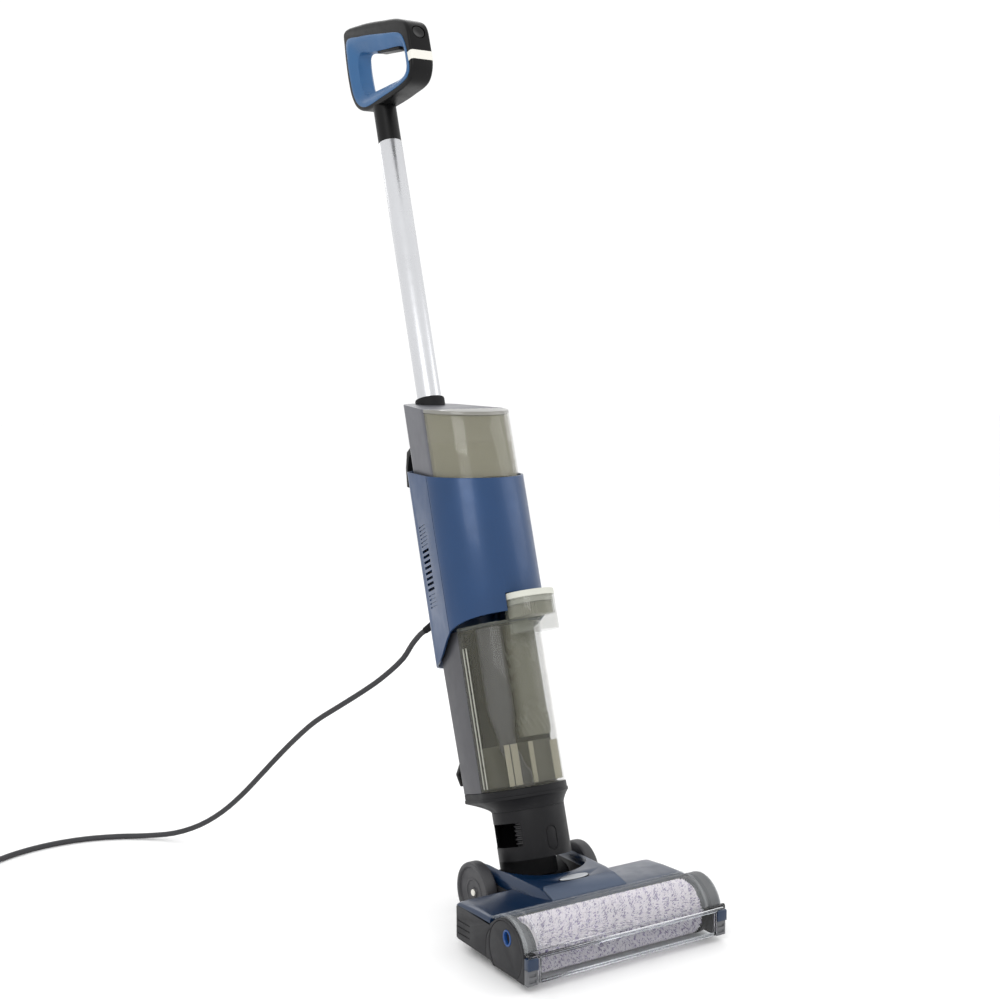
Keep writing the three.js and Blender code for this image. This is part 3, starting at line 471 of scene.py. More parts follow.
def piece(name, obj, place, material, body, slot, *nodes, sharp=38):
    """A finished piece: placed, shaded, named, riding on a body and standing for CAD nodes."""
    obj.name = name
    obj.data.name = name
    obj.data.transform(place)
    obj.data.materials.clear()
    for m in material if isinstance(material, (list, tuple)) else [material]:
        obj.data.materials.append(MAT[m])
    obj.data.shade_smooth()
    obj.data.set_sharp_from_angle(angle=math.radians(sharp))
    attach(obj, body)
    if nodes:
        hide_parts(*nodes)
    return obj


# ---------------------------------------------------------------- cord
CORD_D = 0.007
COIL = dict(x=-0.600, y=0.326, mid=0.054, half=0.0154, low=0.0017, high=0.038)
COIL_LAYERS = 5
PLUG_BACK, PLUG_Z = 0.036, 0.0473
# The route of part.mjs, in metres, with its last stretch turned into the coil.
ROUTE = [
    (-0.033, 0.067, 0.307), (-0.036, 0.0726, 0.3022), (-0.0425, 0.082, 0.289), (-0.051, 0.092, 0.269),
    (-0.071, 0.114, 0.2415), (-0.088, 0.133, 0.223), (-0.109, 0.157, 0.202), (-0.132, 0.183, 0.179),
    (-0.150, 0.205, 0.154), (-0.167, 0.226, 0.127), (-0.184, 0.246, 0.099), (-0.201, 0.267, 0.071),
    (-0.220, 0.290, 0.045), (-0.242, 0.315, 0.024), (-0.268, 0.342, 0.010), (-0.298, 0.367, 0.0048),
    (-0.332, 0.388, 0.0038), (-0.372, 0.401, 0.0038), (-0.414, 0.403, 0.0038), (-0.454, 0.395, 0.0038),
    (-0.490, 0.379, 0.0038), (-0.512, 0.361, 0.0042), (-0.526, 0.341, 0.0046),
]


def coil_points():
    """Turns that wind inwards and outwards in layers, clockwise seen from above."""
    inner = COIL["mid"] - COIL["half"] + CORD_D / 2
    outer = COIL["mid"] + COIL["half"] - CORD_D / 2
    rise = (COIL["high"] - COIL["low"] - CORD_D) / (COIL_LAYERS - 1)
    turns = []
    for layer in range(COIL_LAYERS):
        start, stop = (outer, inner) if layer % 2 == 0 else (inner, outer)
        base = COIL["low"] + CORD_D / 2 + layer * rise
        turns.append((3, start, stop, base, base))
        if layer < COIL_LAYERS - 1:
            turns.append((1, stop, stop, base, base + rise))
    points = []
    steps = 24
    angle = math.radians(-10)
    for count, r0, r1, z0, z1 in turns:
        for i in range(count * steps):
            f = i / (count * steps)
            r = r0 + (r1 - r0) * f
            points.append((COIL["x"] + r * math.cos(angle), COIL["y"] + r * math.sin(angle), z0 + (z1 - z0) * f))
            angle -= 2 * math.pi / steps
    # The last quarter turn is dropped: there the tail climbs over the bundle to the plug's back.
    points = points[:-steps // 4]
    last = Vector(points[-1])
    angle = math.atan2(last.y - COIL["y"], last.x - COIL["x"])
    r0 = math.hypot(last.y - COIL["y"], last.x - COIL["x"])
    stop_angle, stop_r = math.radians(-12), 0.0685
    for i in range(1, 11):
        f = i / 10
        ease = f * f * (3 - 2 * f)
        climb = min(1, f * 2.2)
        a = angle + (stop_angle - angle) * f
        r = r0 + (stop_r - r0) * ease
        z = last.z + 0.0072 * climb * climb * (3 - 2 * climb) + 0.003 * ease
        points.append((COIL["x"] + r * math.cos(a), COIL["y"] + r * math.sin(a), z))
    back = (COIL["x"] + PLUG_BACK, COIL["y"] - COIL["mid"], PLUG_Z)
    # An easy bend leads the tail into the plug's back.
    bend = 0.0285
    reach = bend * math.tan((math.pi / 2 + stop_angle) / 2)
    tail = points[-1]
    corner = tail[0] + (tail[1] - back[1]) * math.tan(stop_angle)
    for i in range(8):
        f = i / 8
        a = stop_angle - (math.pi / 2 + stop_angle) * f
        points.append((corner - reach + bend * math.cos(a), back[1] + bend + bend * math.sin(a),
                       tail[2] + (back[2] - tail[2]) * (0.3 + 0.7 * f)))
    points.append(back)
    return points


def make_cord():
    """The whole cord as one tube, and its centreline."""
    path = spline(ROUTE + coil_points(), 3, closed=False)
    cord = sweep(path, CORD_D / 2, sides=14)
    cord.name = cord.data.name = "mains_cord"
    cord.data.materials.append(MAT["cord"])
    cord.data.shade_smooth()
    return cord, [tuple(p) for p in path]


def make_relief():
    """The ribbed, tapered strain relief between the rear shell and the cord."""
    tip = Vector(ROUTE[0]) * 1000
    along = (tip - Vector(ROUTE[1]) * 1000).normalized()
    tip += along * 0.6
    mouth = UPRIGHT @ Vector((-18, 68, 330)) * 1000
    axis = mouth - tip
    length = axis.length
    profile = [(3.55, 0), (4.3, 0)]
    ribs = 7
    for i in range(ribs):
        z = 0.6 + i * 3.4
        r = 4.4 + 1.3 * i / ribs
        profile += [(r, z), (r, z + 1.9), (r - 0.8, z + 2.2), (r - 0.8, z + 3.1)]
    profile += [(5.8, 25), (5.8, length - 1), (3.55, length - 1)]
    relief = lathe(profile, sides=40)
    relief.data.transform(Matrix.Translation(tip) @ axis.to_track_quat("Z", "Y").to_matrix().to_4x4())
    return piece("strain_relief", relief, WORLD, "rubber", "upright", "rubber", "cord_relief", sharp=30)


def make_plug():
    """A two-blade plug lying on the coil, its grip ribbed."""
    x, y, z = COIL["x"] * 1000, (COIL["y"] - COIL["mid"]) * 1000, PLUG_Z * 1000
    rings = []
    for px, half_w, half_h in [(-24, 13, 7.5), (-23, 15, 8.6), (-18, 15.6, 8.9), (-10, 14.6, 8.4), (-2, 12, 7.6),
                               (6, 9.6, 6.8), (14, 7.4, 6.0), (20, 5.6, 5.2), (24, 4.6, 4.6)]:
        ring = []
        for k in range(40):
            t = 2 * math.pi * k / 40
            c, s = math.cos(t), math.sin(t)
            ring.append((x + px, y + half_w * math.copysign(abs(c) ** 0.55, c),
                         z + half_h * math.copysign(abs(s) ** 0.55, s)))
        rings.append(ring)
    body = skin(rings)
    grooves = []
    for px in (-6, -2.4, 1.2):
        grooves += [box(x + px, x + px + 1.4, y - 8, y + 8, z + side, z + side + 4) for side in (6.9, -10.9)]
    cut(body, *grooves)
    soften(body, 0.5, 2, 40)
    blades = [box(x - 41, x - 23, y + side - 0.8, y + side + 0.8, z - 3, z + 3) for side in (-6.4, 6.4)]
    for blade in blades:
        soften(blade, 0.35, 2)
    plug = piece("plug_body", body, WORLD, "cord", "yoke", "rubber", "plug")
    prongs = piece("plug_blades", merged(blades), WORLD, "steel", "yoke", "steel")
    return plug, prongs


def make_tie():
    low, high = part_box("cord_tie")
    low, high = Vector(low) * 1000, Vector(high) * 1000
    x0, x1, z0, z1 = low.x, high.x, low.z, high.z
    outline = []
    radius = 5
    for cx, cz, start in [(x1 - radius, z1 - radius, 0), (x0 + radius, z1 - radius, 90),
                          (x0 + radius, z0 + radius, 180), (x1 - radius, z0 + radius, 270)]:
        outline += arc(cx, cz, radius, radius, start, start + 90, 8)
    inside = inward(outline, 1.0)
    y = (low.y + high.y) / 2
    rings = []
    for side_a, side_b in zip(outline, inside):
        rings.append([(side_a[0], y - 4, side_a[1]), (side_a[0], y + 4, side_a[1]),
                      (side_b[0], y + 4, side_b[1]), (side_b[0], y - 4, side_b[1])])
    return piece("coil_tie", skin(rings, closed=True), WORLD, "black", "yoke", "black", "cord_tie")


# ---------------------------------------------------------------- floor head
def make_head():
    wide = 132.5
    # Wide blue part of the top cover, rounded at its shoulders, sloping to the brush cover.
    side = [(-56, 50.3), (-56, 52.2), (-58, 53.6), (-62, 54.6), (-90, 57.2), (-120, 58.4), (-125.6, 58.2),
            (-125.6, 53)]
    across = [-132.5, -131.6, -129.6, -126, -120, 120, 126, 129.6, 131.6, 132.5]
    drop = [3.4, 1.7, 0.7, 0.2, 0, 0, 0.2, 0.7, 1.7, 3.4]
    lid = skin([[(x, y, max(50.0, z - d) if z > 51 else z) for y, z in side] for x, d in zip(across, drop)])
    # Raised middle: rises from the wide part, with a crease along each side.
    sections = []
    for y, half, foot, crown in [(26, 60, 49.6, 58), (24, 61, 49.6, 61), (20, 61, 49.6, 63), (0, 61, 49.6, 65.2),
                                 (-40, 61, 49.6, 66), (-80, 60, 50, 66.8), (-96, 58.5, 50, 66.4),
                                 (-108, 57, 50, 64), (-116, 56, 50, 61.6), (-124, 55, 50, 59.2), (-125.4, 55, 50, 58)]:
        flank = [(0, foot), (0, max(foot + 0.3, crown - 9)), (0.6, max(foot + 0.8, crown - 7.6)), (5.5, crown - 2),
                 (7, crown - 1), (9.5, crown - 0.4), (15, crown)]
        sections.append([(-half + x, y, z) for x, z in flank] + [(half - x, y, z) for x, z in reversed(flank)])
    stem = skin(sections)
    room = skin([[(-56, y, 45), (-56, y, top - 6), (-48, y, top), (48, y, top), (56, y, top - 6), (56, y, 45)]
                 for y, top in [(30, 55), (10, 61), (-84, 63.2), (-100, 60)]])
    neck = prism(arc(0, -23, 55, 51, 180, 360, 48) + [(55, 40), (-55, 40)], 30, 90)
    button = prism(arc(0, -92, 20.6, 7.0, 0, 355, 71), 55, 90)
    cover = join(lid, stem)
    cut(cover, room, neck, button)
    soften(cover, 0.7, 2, 40)
    piece("top_cover", cover, HEAD, "navy", "head", "navy_cover", "head_top_cover", sharp=50)

    # Blank name plate: a thin rounded slab that follows the slope of the stem's front.
    points = []
    for cx, cy, start in [(44, -104, 0), (-44, -104, 90)]:
        points += arc(cx, cy, 5, 4.5, start, start + 90, 8)
    points += [(-50, -124), (50, -124)]
    outer = [(x, y) for x, y in points]

    def plate_z(y):
        t = (-99.5 - y) / 24.5
        return 66.6 - 7.4 * max(0, t) ** 1.15
    rings = [[(x, y, plate_z(y) - 1.5) for x, y in outer], [(x, y, plate_z(y) + 0.5) for x, y in outer],
             [(x, y, plate_z(y) + 1.0) for x, y in inward(outer, 0.7)]]
    piece("blank_plate_face", skin(rings), HEAD, "slate", "head", "mid_grey", "blank_plate", sharp=50)

    # Silver release button with a thin dark surround.
    rim = skin([[(p[0], p[1], z) for p in arc(0, -92, rx, ry, 0, 355, 71)]
                for rx, ry, z in [(20.4, 6.8, 62.5), (20.4, 6.8, 66.9), (19.6, 6.1, 67.1), (19.5, 6.0, 62.5)]], closed=True)
    piece("button_surround", rim, HEAD, "gloss_black", "head", "black")
    cap = skin([[(p[0], p[1], z) for p in arc(0, -92, rx, ry, 0, 355, 71)]
                for rx, ry, z in [(19.2, 5.7, 62), (19.2, 5.7, 67.0), (18.6, 5.2, 68.0), (16, 3.8, 68.5),
                                  (12, 2, 68.6)]])
    piece("release_button_cap", cap, HEAD, "silver", "release_button", "silver", "release_button", sharp=60)

    # Chassis: the brush chamber's back, the floor plate and the stem's tray.
    chassis = box(-119, 119, -118, -56, 8, 49)
    cut(chassis, box(-116, 116, -115, -59, 11, 60))
    tray = box(-61, 61, -62, 28, 8, 49)
    cut(tray, box(-58, 58, -80, 40, 11, 60))
    join(chassis, tray)
    cut(chassis, box(-58, 58, -66, -50, 11, 60), disc(12.5, 0, 0, 5, 14), rod_y(13.3, -130, -110, 0, 30))
    axles = [rod(4, -77, -58, 0, 35), rod(4, 58, 77, 0, 35)]
    join(chassis, *axles)
    soften(chassis, 0.8, 2, 40)
    piece("chassis", chassis, HEAD, "cheek_grey", "head", "dark_grey", "head_chassis")


def cheek_side(front_arc):
    """The side outline of an end cheek in the head's plan: flat behind, an arc over the brush."""
    return ([(-56, 14), (-56, 48.5), (-57.5, 50), (-100, 51.6), (-126, 52)]
            + front_arc
            + [(-191.7, 34), (-191.7, 8.8), (-190.9, 8), (-135, 8), (-131, 8.6), (-127, 12), (-60, 12.6)])


def make_cheeks():
    radius = 34.2
    over = arc(BRUSH_Y, BRUSH_Z, radius, radius, 52, 165, 48)
    for name, sign in (("left", -1), ("right", 1)):
        outer = sign * 132.5
        inner = sign * 119.8
        cheek = slab(cheek_side(over), min(outer, inner), max(outer, inner))
        if sign < 0:
            cut(cheek, rod(31.9, -134, -118, BRUSH_Y, BRUSH_Z, 96))
        else:
            cut(cheek, rod(16.5, 119, 127.5, BRUSH_Y, BRUSH_Z), rod(11, 119, 127.5, -91, 30))
        grooves = [slab([(-58, z), (-58, z + 1.5), (-84, z + 2.3), (-84, z + 0.8)], outer - 0.9, outer + 0.9)
                   for z in (19, 26, 33)]
        seam = slab([(-117.2, 8), (-117.2, 30), (-119, 38), (-123, 44), (-129, 49), (-135, 52), (-135.7, 51.2),
                     (-129.6, 48.2), (-123.7, 43.4), (-119.8, 37.6), (-118, 30), (-118, 8)],
                    outer - 0.7, outer + 0.7)
        cut(cheek, *grooves)
        cut(cheek, seam)
        soften(cheek, 1.0, 3, 40)
        piece(name + "_cheek_moulding", cheek, HEAD, "cheek_grey", "head", "dark_grey", name + "_cheek")
        x0, x1 = sorted((sign * 132.5, sign * 119.5))
        block = slab([(-200, 25), (-200, 36), (-199, 37), (-192.6, 37), (-192, 36.4), (-192, 25)], x0, x1)
        soften(block, 0.9, 3)
        under = slab([(-198, 8), (-198, 24.8), (-192, 24.8), (-192, 8)], x0, x1)
        soften(under, 0.6, 2)
        notch = [box(min(sign * 121.5, sign * 130), max(sign * 121.5, sign * 130), -200, -196.8, z, z + 3.4)
                 for z in (11, 17.5)]
        cut(under, *notch)
        piece(name + "_corner_cap", block, HEAD, "navy", "head", "navy_cover", name + "_corner_block")
        piece(name + "_corner_foot", under, HEAD, "mid_grey", "head", "mid_grey")


def make_end_cap():
    """Cartridge end: dark disc flat at the floor, blue ring round a finger hole."""
    points = arc(BRUSH_Y, BRUSH_Z, 31.5, 31.5, -49, 229, 96)
    cap = slab(points, -132.5, -127.5)
    hole = (-159, 47)
    cut(cap, slab(arc(hole[0], hole[1], 7.6, 8.8, 0, 352.5, 47), -134, -128.6))
    bearing = rod(19.7, -128.5, -97, BRUSH_Y, BRUSH_Z)
    join(cap, bearing)
    soften(cap, 0.8, 3, 40)
    piece("cartridge_cap", cap, HEAD, "cheek_grey", "brush_cartridge", "dark_grey", "brush_end_cap")
    ring = []
    for i in range(48):
        t = 2 * math.pi * i / 48
        section = []
        for grow, x in [(0, -128.9), (0, -132.2), (0.5, -132.9), (1.4, -133.1), (2.2, -132.7), (2.3, -132.2),
                        (0.6, -131.5)]:
            section.append((x, hole[0] + (5.4 + grow) * math.cos(t), hole[1] + (6.6 + grow) * math.sin(t)))
        ring.append(section)
    piece("finger_ring", skin(ring, closed=True), HEAD, "ring_blue", "brush_cartridge", "navy_cover")


def make_brush():
    """Brush roll: a fuzzy sleeve of short tufts in slanting rows, light with dark flecks."""
    random.seed(11)
    core = rod(25.5, -109, 109, BRUSH_Y, BRUSH_Z, 64)
    piece("pile_backing", core, HEAD, "pile_light", "brush_roll", "pile")
    verts, faces, tones = [], [], []
    rows, around = 190, 150
    for i in range(rows):
        for k in range(around):
            x = -108.5 + 217 * (i + random.uniform(0.1, 0.9)) / rows
            t = 2 * math.pi * (k + random.uniform(0.1, 0.9)) / around
            phase = (x * 0.085 + t * 3.0 / (2 * math.pi) * 2.4) % 1
            dark = random.random() < (0.36 if phase < 0.45 else 0.08)
            lean_x, lean_t = random.uniform(-1.1, 1.1), random.uniform(-0.03, 0.05)
            tip_r = random.uniform(29.6, 31.0)
            base = []
            for m in range(3):
                a = 2 * math.pi * m / 3 + random.uniform(0, 2)
                base.append((x + 0.7 * math.cos(a), t + 0.7 * math.sin(a) / 27))
            start = len(verts)
            for bx, bt in base:
                verts.append((bx, BRUSH_Y + 25.4 * math.cos(bt), BRUSH_Z + 25.4 * math.sin(bt)))
            for bx, bt in base:
                mx, mt = bx + (x - bx) * 0.1 + lean_x * 0.6, bt + (t - bt) * 0.1 + lean_t * 0.6
                mr = 25.4 + (tip_r - 25.4) * 0.75
                verts.append((mx, BRUSH_Y + mr * math.cos(mt), BRUSH_Z + mr * math.sin(mt)))
            tx = max(-109.5, min(109.5, x + lean_x))
            verts.append((tx, BRUSH_Y + tip_r * math.cos(t + lean_t), BRUSH_Z + tip_r * math.sin(t + lean_t)))
            for m in range(3):
                n = (m + 1) % 3
                faces.append((start + m, start + n, start + 3 + n, start + 3 + m))
                faces.append((start + 3 + m, start + 3 + n, start + 6))
                tones += [dark, dark]
    mesh = bpy.data.meshes.new("tufts")
    mesh.from_pydata(verts, [], faces)
    tufts = bpy.data.objects.new("tufts", mesh)
    bpy.context.collection.objects.link(tufts)
    piece("brush_tufts", tufts, HEAD, ["pile_light", "pile_dark"], "brush_roll", "pile", "brush_pile", sharp=180)
    mesh = tufts.data
    mesh.polygons.foreach_set("material_index", [1 if tone else 0 for tone in tones])
    mesh.update()
    hub = lathe([(5, -111), (24, -111), (24.6, -110.4), (24.6, -109.2), (5, -109.2)], BRUSH_Y, BRUSH_Z, axis="X")
    far = lathe([(5, 109.2), (24.6, 109.2), (24.6, 110.4), (24, 111), (5, 111)], BRUSH_Y, BRUSH_Z, axis="X")
    piece("brush_end_rings", merged([hub, far]), HEAD, "gloss_black", "brush_roll", "black")
    # A dark stationary shoulder that shows through the clear cover at the right end of the roll.
    shoulders = [lathe([(24, x0), (31, x0), (31, x1 - 1), (29.8, x1), (24, x1)], BRUSH_Y, BRUSH_Z, axis="X")
                 for x0, x1 in ((112.5, 119.0),)]
    piece("right_bearing_shoulder", merged(shoulders), HEAD, "black", "head", "black")


def make_brush_cover():
    """Clear hood over the brush, with its rear flange, end bands, bright bar and front window."""
    y, z = BRUSH_Y, BRUSH_Z
    outer, inner = 37.3, 34.9
    hood = skin([[(x, p, q) for p, q in arc(y, z, outer, outer, 50, 168, 72) + arc(y, z, inner, inner, 168, 50, 72)]
                 for x in (-131, -130.4, 130.4, 131)])
    flange = slab([(-133.5, 59.6), (-126.4, 57.9), (-126.4, 60.3), (-129, 61.0), (-133.5, 62.6)], -131, 131)
    join(hood, flange)
    soften(hood, 0.5, 2, 40)
    parts = [hood]
    # Raised bands at both ends.
    for x0, x1 in ((-131, -127.4), (-113.2, -110.6), (127.4, 131), (108.6, 111.2)):
        band = skin([[(x, p, q) for p, q in
                      arc(y, z, outer + 0.9, outer + 0.9, 54, 166, 64) + arc(y, z, outer - 0.2, outer - 0.2, 166, 54, 64)]
                     for x in (x0, x0 + 0.4, x1 - 0.4, x1)])
        parts.append(band)
    piece("cover_hood", merged(parts), HEAD, "hood_clear", "brush_cover", "clear", "brush_cover")
    bar = slab([(-199.4, 38.2), (-198.6, 42.6), (-197.4, 43.6), (-193.4, 43.0), (-191.8, 41.6), (-192.2, 38.0)],
               -131, 131)
    soften(bar, 0.5, 2, 40)
    rail = slab([(-200.2, 36.8), (-199.6, 38.4), (-196, 38.6), (-196, 37.0)], -119, 119)
    soften(rail, 0.3, 2, 40)
    window = slab([(-199, 11), (-199, 37.2), (-197, 37.2), (-197, 11.6), (-196.4, 11)], -116, 116)
    foot = slab([(-199.8, 10.2), (-199.8, 13.2), (-197.2, 13.6), (-196.2, 11)], -116, 116)
    soften(foot, 0.4, 2, 40)
    posts = [box(x0, x1, -199.8, -196.4, 11, 38) for x0, x1 in ((-118.6, -116.1), (116.1, 118.6))]
    for post in posts:
        soften(post, 0.5, 2)
    piece("cover_front", merged([bar, rail, window, foot] + posts), HEAD, "clear", "brush_cover", "clear")


def make_wheels():
    for name, sign in (("left", -1), ("right", 1)):
        out = sign * 79
        back = sign * 64
        d = -sign
        profile = [(4.5, back), (33, back), (34.4, back - d * 1.2), (35, back - d * 3), (35, out + d * 3),
                   (34.4, out + d * 1.0), (33, out), (30.4, out), (29.4, out + d * 0.7), (28.6, out + d * 2.6),
                   (17, out + d * 3.2), (16, out + d * 2.4), (14.5, out + d * 2.3), (13.5, out + d * 3.4),
                   (6.4, out + d * 3.8), (5.6, out + d * 2.6), (4.5, out + d * 2.6)]
        wheel = lathe(profile, 0, 35, 96, "X")
        piece(name + "_wheel_moulding", wheel, HEAD, "wheel", name + "_wheel", "rubber", name + "_wheel", sharp=34)
        tip = lathe([(0.01, out + d * 1.0), (3.4, out + d * 1.0), (3.9, out + d * 1.6), (3.9, out + d * 6),
                     (0.01, out + d * 6)], 0, 35, 32, "X")
        piece(name + "_axle_tip", tip, HEAD, "white", "head", "steel")


# ---------------------------------------------------------------- yoke and neck
def make_yoke():
    base = disc(50, 0, 0, 11.3, 15, 96)
    boss = disc(12, 0, 0, 8.2, 12)
    lugs = [slab([(-13, 14), (13, 14)] + arc(0, AXLE.z * 1000, 13, 13, 0, 180, 32), x0, x1)
            for x0, x1 in ((-50, -45.5), (45.5, 50))]
    join(base, boss, *lugs)
    cut(base, rod(5.3, -60, 60, 0, AXLE.z * 1000))
    soften(base, 0.7, 2, 40)
    piece("yoke_moulding", base, HEAD, "black", "yoke", "black", "swivel_yoke")
    for name, sign in (("left", -1), ("right", 1)):
        x0, x1 = sorted((sign * 51.5, sign * 32))
        pin = rod(5, x0, x1, 0, AXLE.z * 1000)
        soften(pin, 0.6, 2, 40)
        piece(name + "_pin_turned", pin, HEAD, "steel", "yoke", "steel", name + "_pivot_pin")


def make_neck():
    neck = disc(43, 0, -23, 28, 84, 96)
    join(neck, prism(arc(0, -5, 36, 27, 0, 355, 71), 6, 29), rod(19, -44, 44, 0, 0, 64))
    soften(neck, 1.6, 3, 34)
    window = box(-60, -17, -52, 4, 44, 71)
    soften(window, 2.5, 3)
    pill = []
    for cx, cz, start in ((0, 56, 0), (0, 41, 180)):
        pill += arc(cx, cz, 6.8, 6.8, start, start + 180, 16)
    recess = skin([[(x, y, z) for x, z in pill] for y in (-80, -64.6)])
    cut(neck, disc(40, 0, -23, 32, 90, 96), window, recess, rod(5.3, -60, -31, 0, 0), rod(5.3, 31, 60, 0, 0))
    piece("neck_moulding", neck, UPRIGHT, "dark_grey", "upright", "dark_grey", "neck_housing", sharp=50)
    inset = skin([[(x * k, y, 48.5 + (z - 48.5) * k) for x, z in pill]
                  for k, y in ((0.88, -64.0), (0.88, -65.2), (0.8, -65.7))])
    piece("neck_inset", inset, UPRIGHT, "dark_grey", "upright", "mid_grey")
    ridges = [(11.6, 32.5)]
    for i in range(10):
        z = 33 + i * 5
        ridges += [(13, z), (14.6, z + 0.9), (15.1, z + 2), (14.6, z + 3.1), (13, z + 4)]
    ridges.append((11.6, 83.4))
    piece("neck_hose_ribs", lathe(ridges, -6, -23, 64), UPRIGHT, "hose", "upright", "black", "neck_hose",
          sharp=60)


def between(a, b, f):
    return [(p[0] + (q[0] - p[0]) * f, p[1] + (q[1] - p[1]) * f) for p, q in zip(a, b)]


def make_casing():
    neck_plan = plan(dict(half=43, front=-66, wide=-23, back_half=43, back_y=-23, rear=20))
    lower = plan(PLAN["base"])
    rings = []
    for i in range(13):
        t = i / 12
        rings.append([(x, y, 84.3 + 13.2 * t) for x, y in between(neck_plan, lower, t ** 1.5)])
    for z, grow in ((98.2, 0.9), (101.4, 0.9), (102.0, 0), (108.3, 0), (109, -0.7)):
        rings.append([(x, y, z) for x, y in plan(PLAN["base"], -grow)])
    funnel = skin(rings)
    cut(funnel, disc(16, -6, -27, 80, 120))
    piece("tank_foot", funnel, UPRIGHT, "dark_grey", "upright", "dark_grey", "tank_base", sharp=30)

    def taper(inset, z0, z1):
        return skin([[(x, y, z) for x, y in plan(PLAN[key], inset)] for key, z in (("base", z0), ("lower", z1))])
    casing = taper(0, 109.3, 300)
    keep(casing, box(-80, 80, SEAM_Y + 0.9, 100, 100, 310))
    room = taper(2.5, 111.8, 301)
    keep(room, box(-80, 80, SEAM_Y + 2.5, 100, 100, 310))
    cut(casing, room)
    soften(casing, 0.9, 2, 40)
    piece("rear_spine", casing, UPRIGHT, "spine_grey", "upright", "dark_grey", "rear_casing")


SWOOP = [(90, 262), (60, 266), (30, 277), (0, 294), (-30, 306), (-60, 312), (-100, 314)]
SHELL_TOP = (50, 509)
CLEAN_TOP = (50, 596)


def above(at_y, at_z, slope=RIM_SLOPE, deep=200):
    """A wedge over a slanted plane."""
    ys = (-150, 150)
    return slab([(ys[0], at_z + (ys[0] - at_y) * slope), (ys[1], at_z + (ys[1] - at_y) * slope),
                 (ys[1], at_z + deep), (ys[0], at_z + deep)], -100, 100)


def under(at_y, at_z, slope=RIM_SLOPE, deep=200):
    ys = (-150, 150)
    return slab([(ys[0], at_z + (ys[0] - at_y) * slope), (ys[1], at_z + (ys[1] - at_y) * slope),
                 (ys[1], at_z - deep), (ys[0], at_z - deep)], -100, 100)


def make_shells():
    swoop_line = [tuple(p)[:2] for p in spline(SWOOP, 8, closed=False)]
    for name, node, y0, y1 in (("front_panel", "front_shell", -110, SEAM_Y - 0.45),
                               ("rear_panel", "rear_shell", SEAM_Y + 0.45, 110)):
        wall = prism(plan(PLAN["shell"]), 262, 530)
        keep(wall, box(-90, 90, y0, y1, 255, 540))
        cut(wall, prism(plan(PLAN["shell"], 2.5), 250, 540), above(*SHELL_TOP),
            slab(swoop_line + [(-100, 180), (90, 180)], -90, 90))
        if y0 < SEAM_Y - 50:
            r = COLLAR_R + 1.2
            arch = disc(r, COLLAR_X, COLLAR_Y, 250, 334)
            cut(wall, join(arch, box(COLLAR_X - r, COLLAR_X + r, -110, COLLAR_Y, 250, 334)))
        soften(wall, 0.9, 3, 40)
        if y1 > SEAM_Y + 50:
            slots = [box(-90, 90, 18, 44, 357 + i * 6.8, 360.4 + i * 6.8) for i in range(8)]
            cut(wall, merged(slots), rod_y(9.8, 60, 100, -22, 324))
            band = prism(plan(PLAN["shell"], -1), 325, 450)
            cut(band, prism(plan(PLAN["shell"], 0.9), 320, 455))
            heights = [336 + 4.8 * i for i in range(4)] + [412 + 4.8 * i for i in range(6)]
            strips = [box(-90, 90, 18, 44, z, z + 1.9) for z in heights]
            keep(band, merged(strips))
            cut(wall, band)
        piece(name, wall, UPRIGHT, "blue", "upright", "blue_shell", node, sharp=40)


LOWER_HOOK = [(0, 150), (14, 150), (30, 146), (43, 133), (36, 117), (31, 118), (36, 132), (26, 140), (12, 143),
              (0, 143)]
UPPER_HOOK = [(0, 551), (16, 551), (25, 548), (34, 528), (38, 505), (34, 503), (29, 527), (21, 541), (14, 544),
              (0, 544)]


def make_hooks():
    low = slab([(y + 62.6, z) for y, z in LOWER_HOOK], -18, 18)
    soften(low, 1.6, 3, 20)
    piece("lower_hook_moulding", low, UPRIGHT, "black", "upright", "black", "lower_cord_hook")
    high = slab([(y + 80.4, z) for y, z in UPPER_HOOK], -18, 18)
    join(high, rod_y(5, 74.2, 88, 0, 543), box(-5, 5, 80.4, 88, 543, 546))
    soften(high, 1.2, 3, 30)
    piece("upper_hook_moulding", high, UPRIGHT, "black", "upper_cord_hook", "black", "upper_cord_hook")


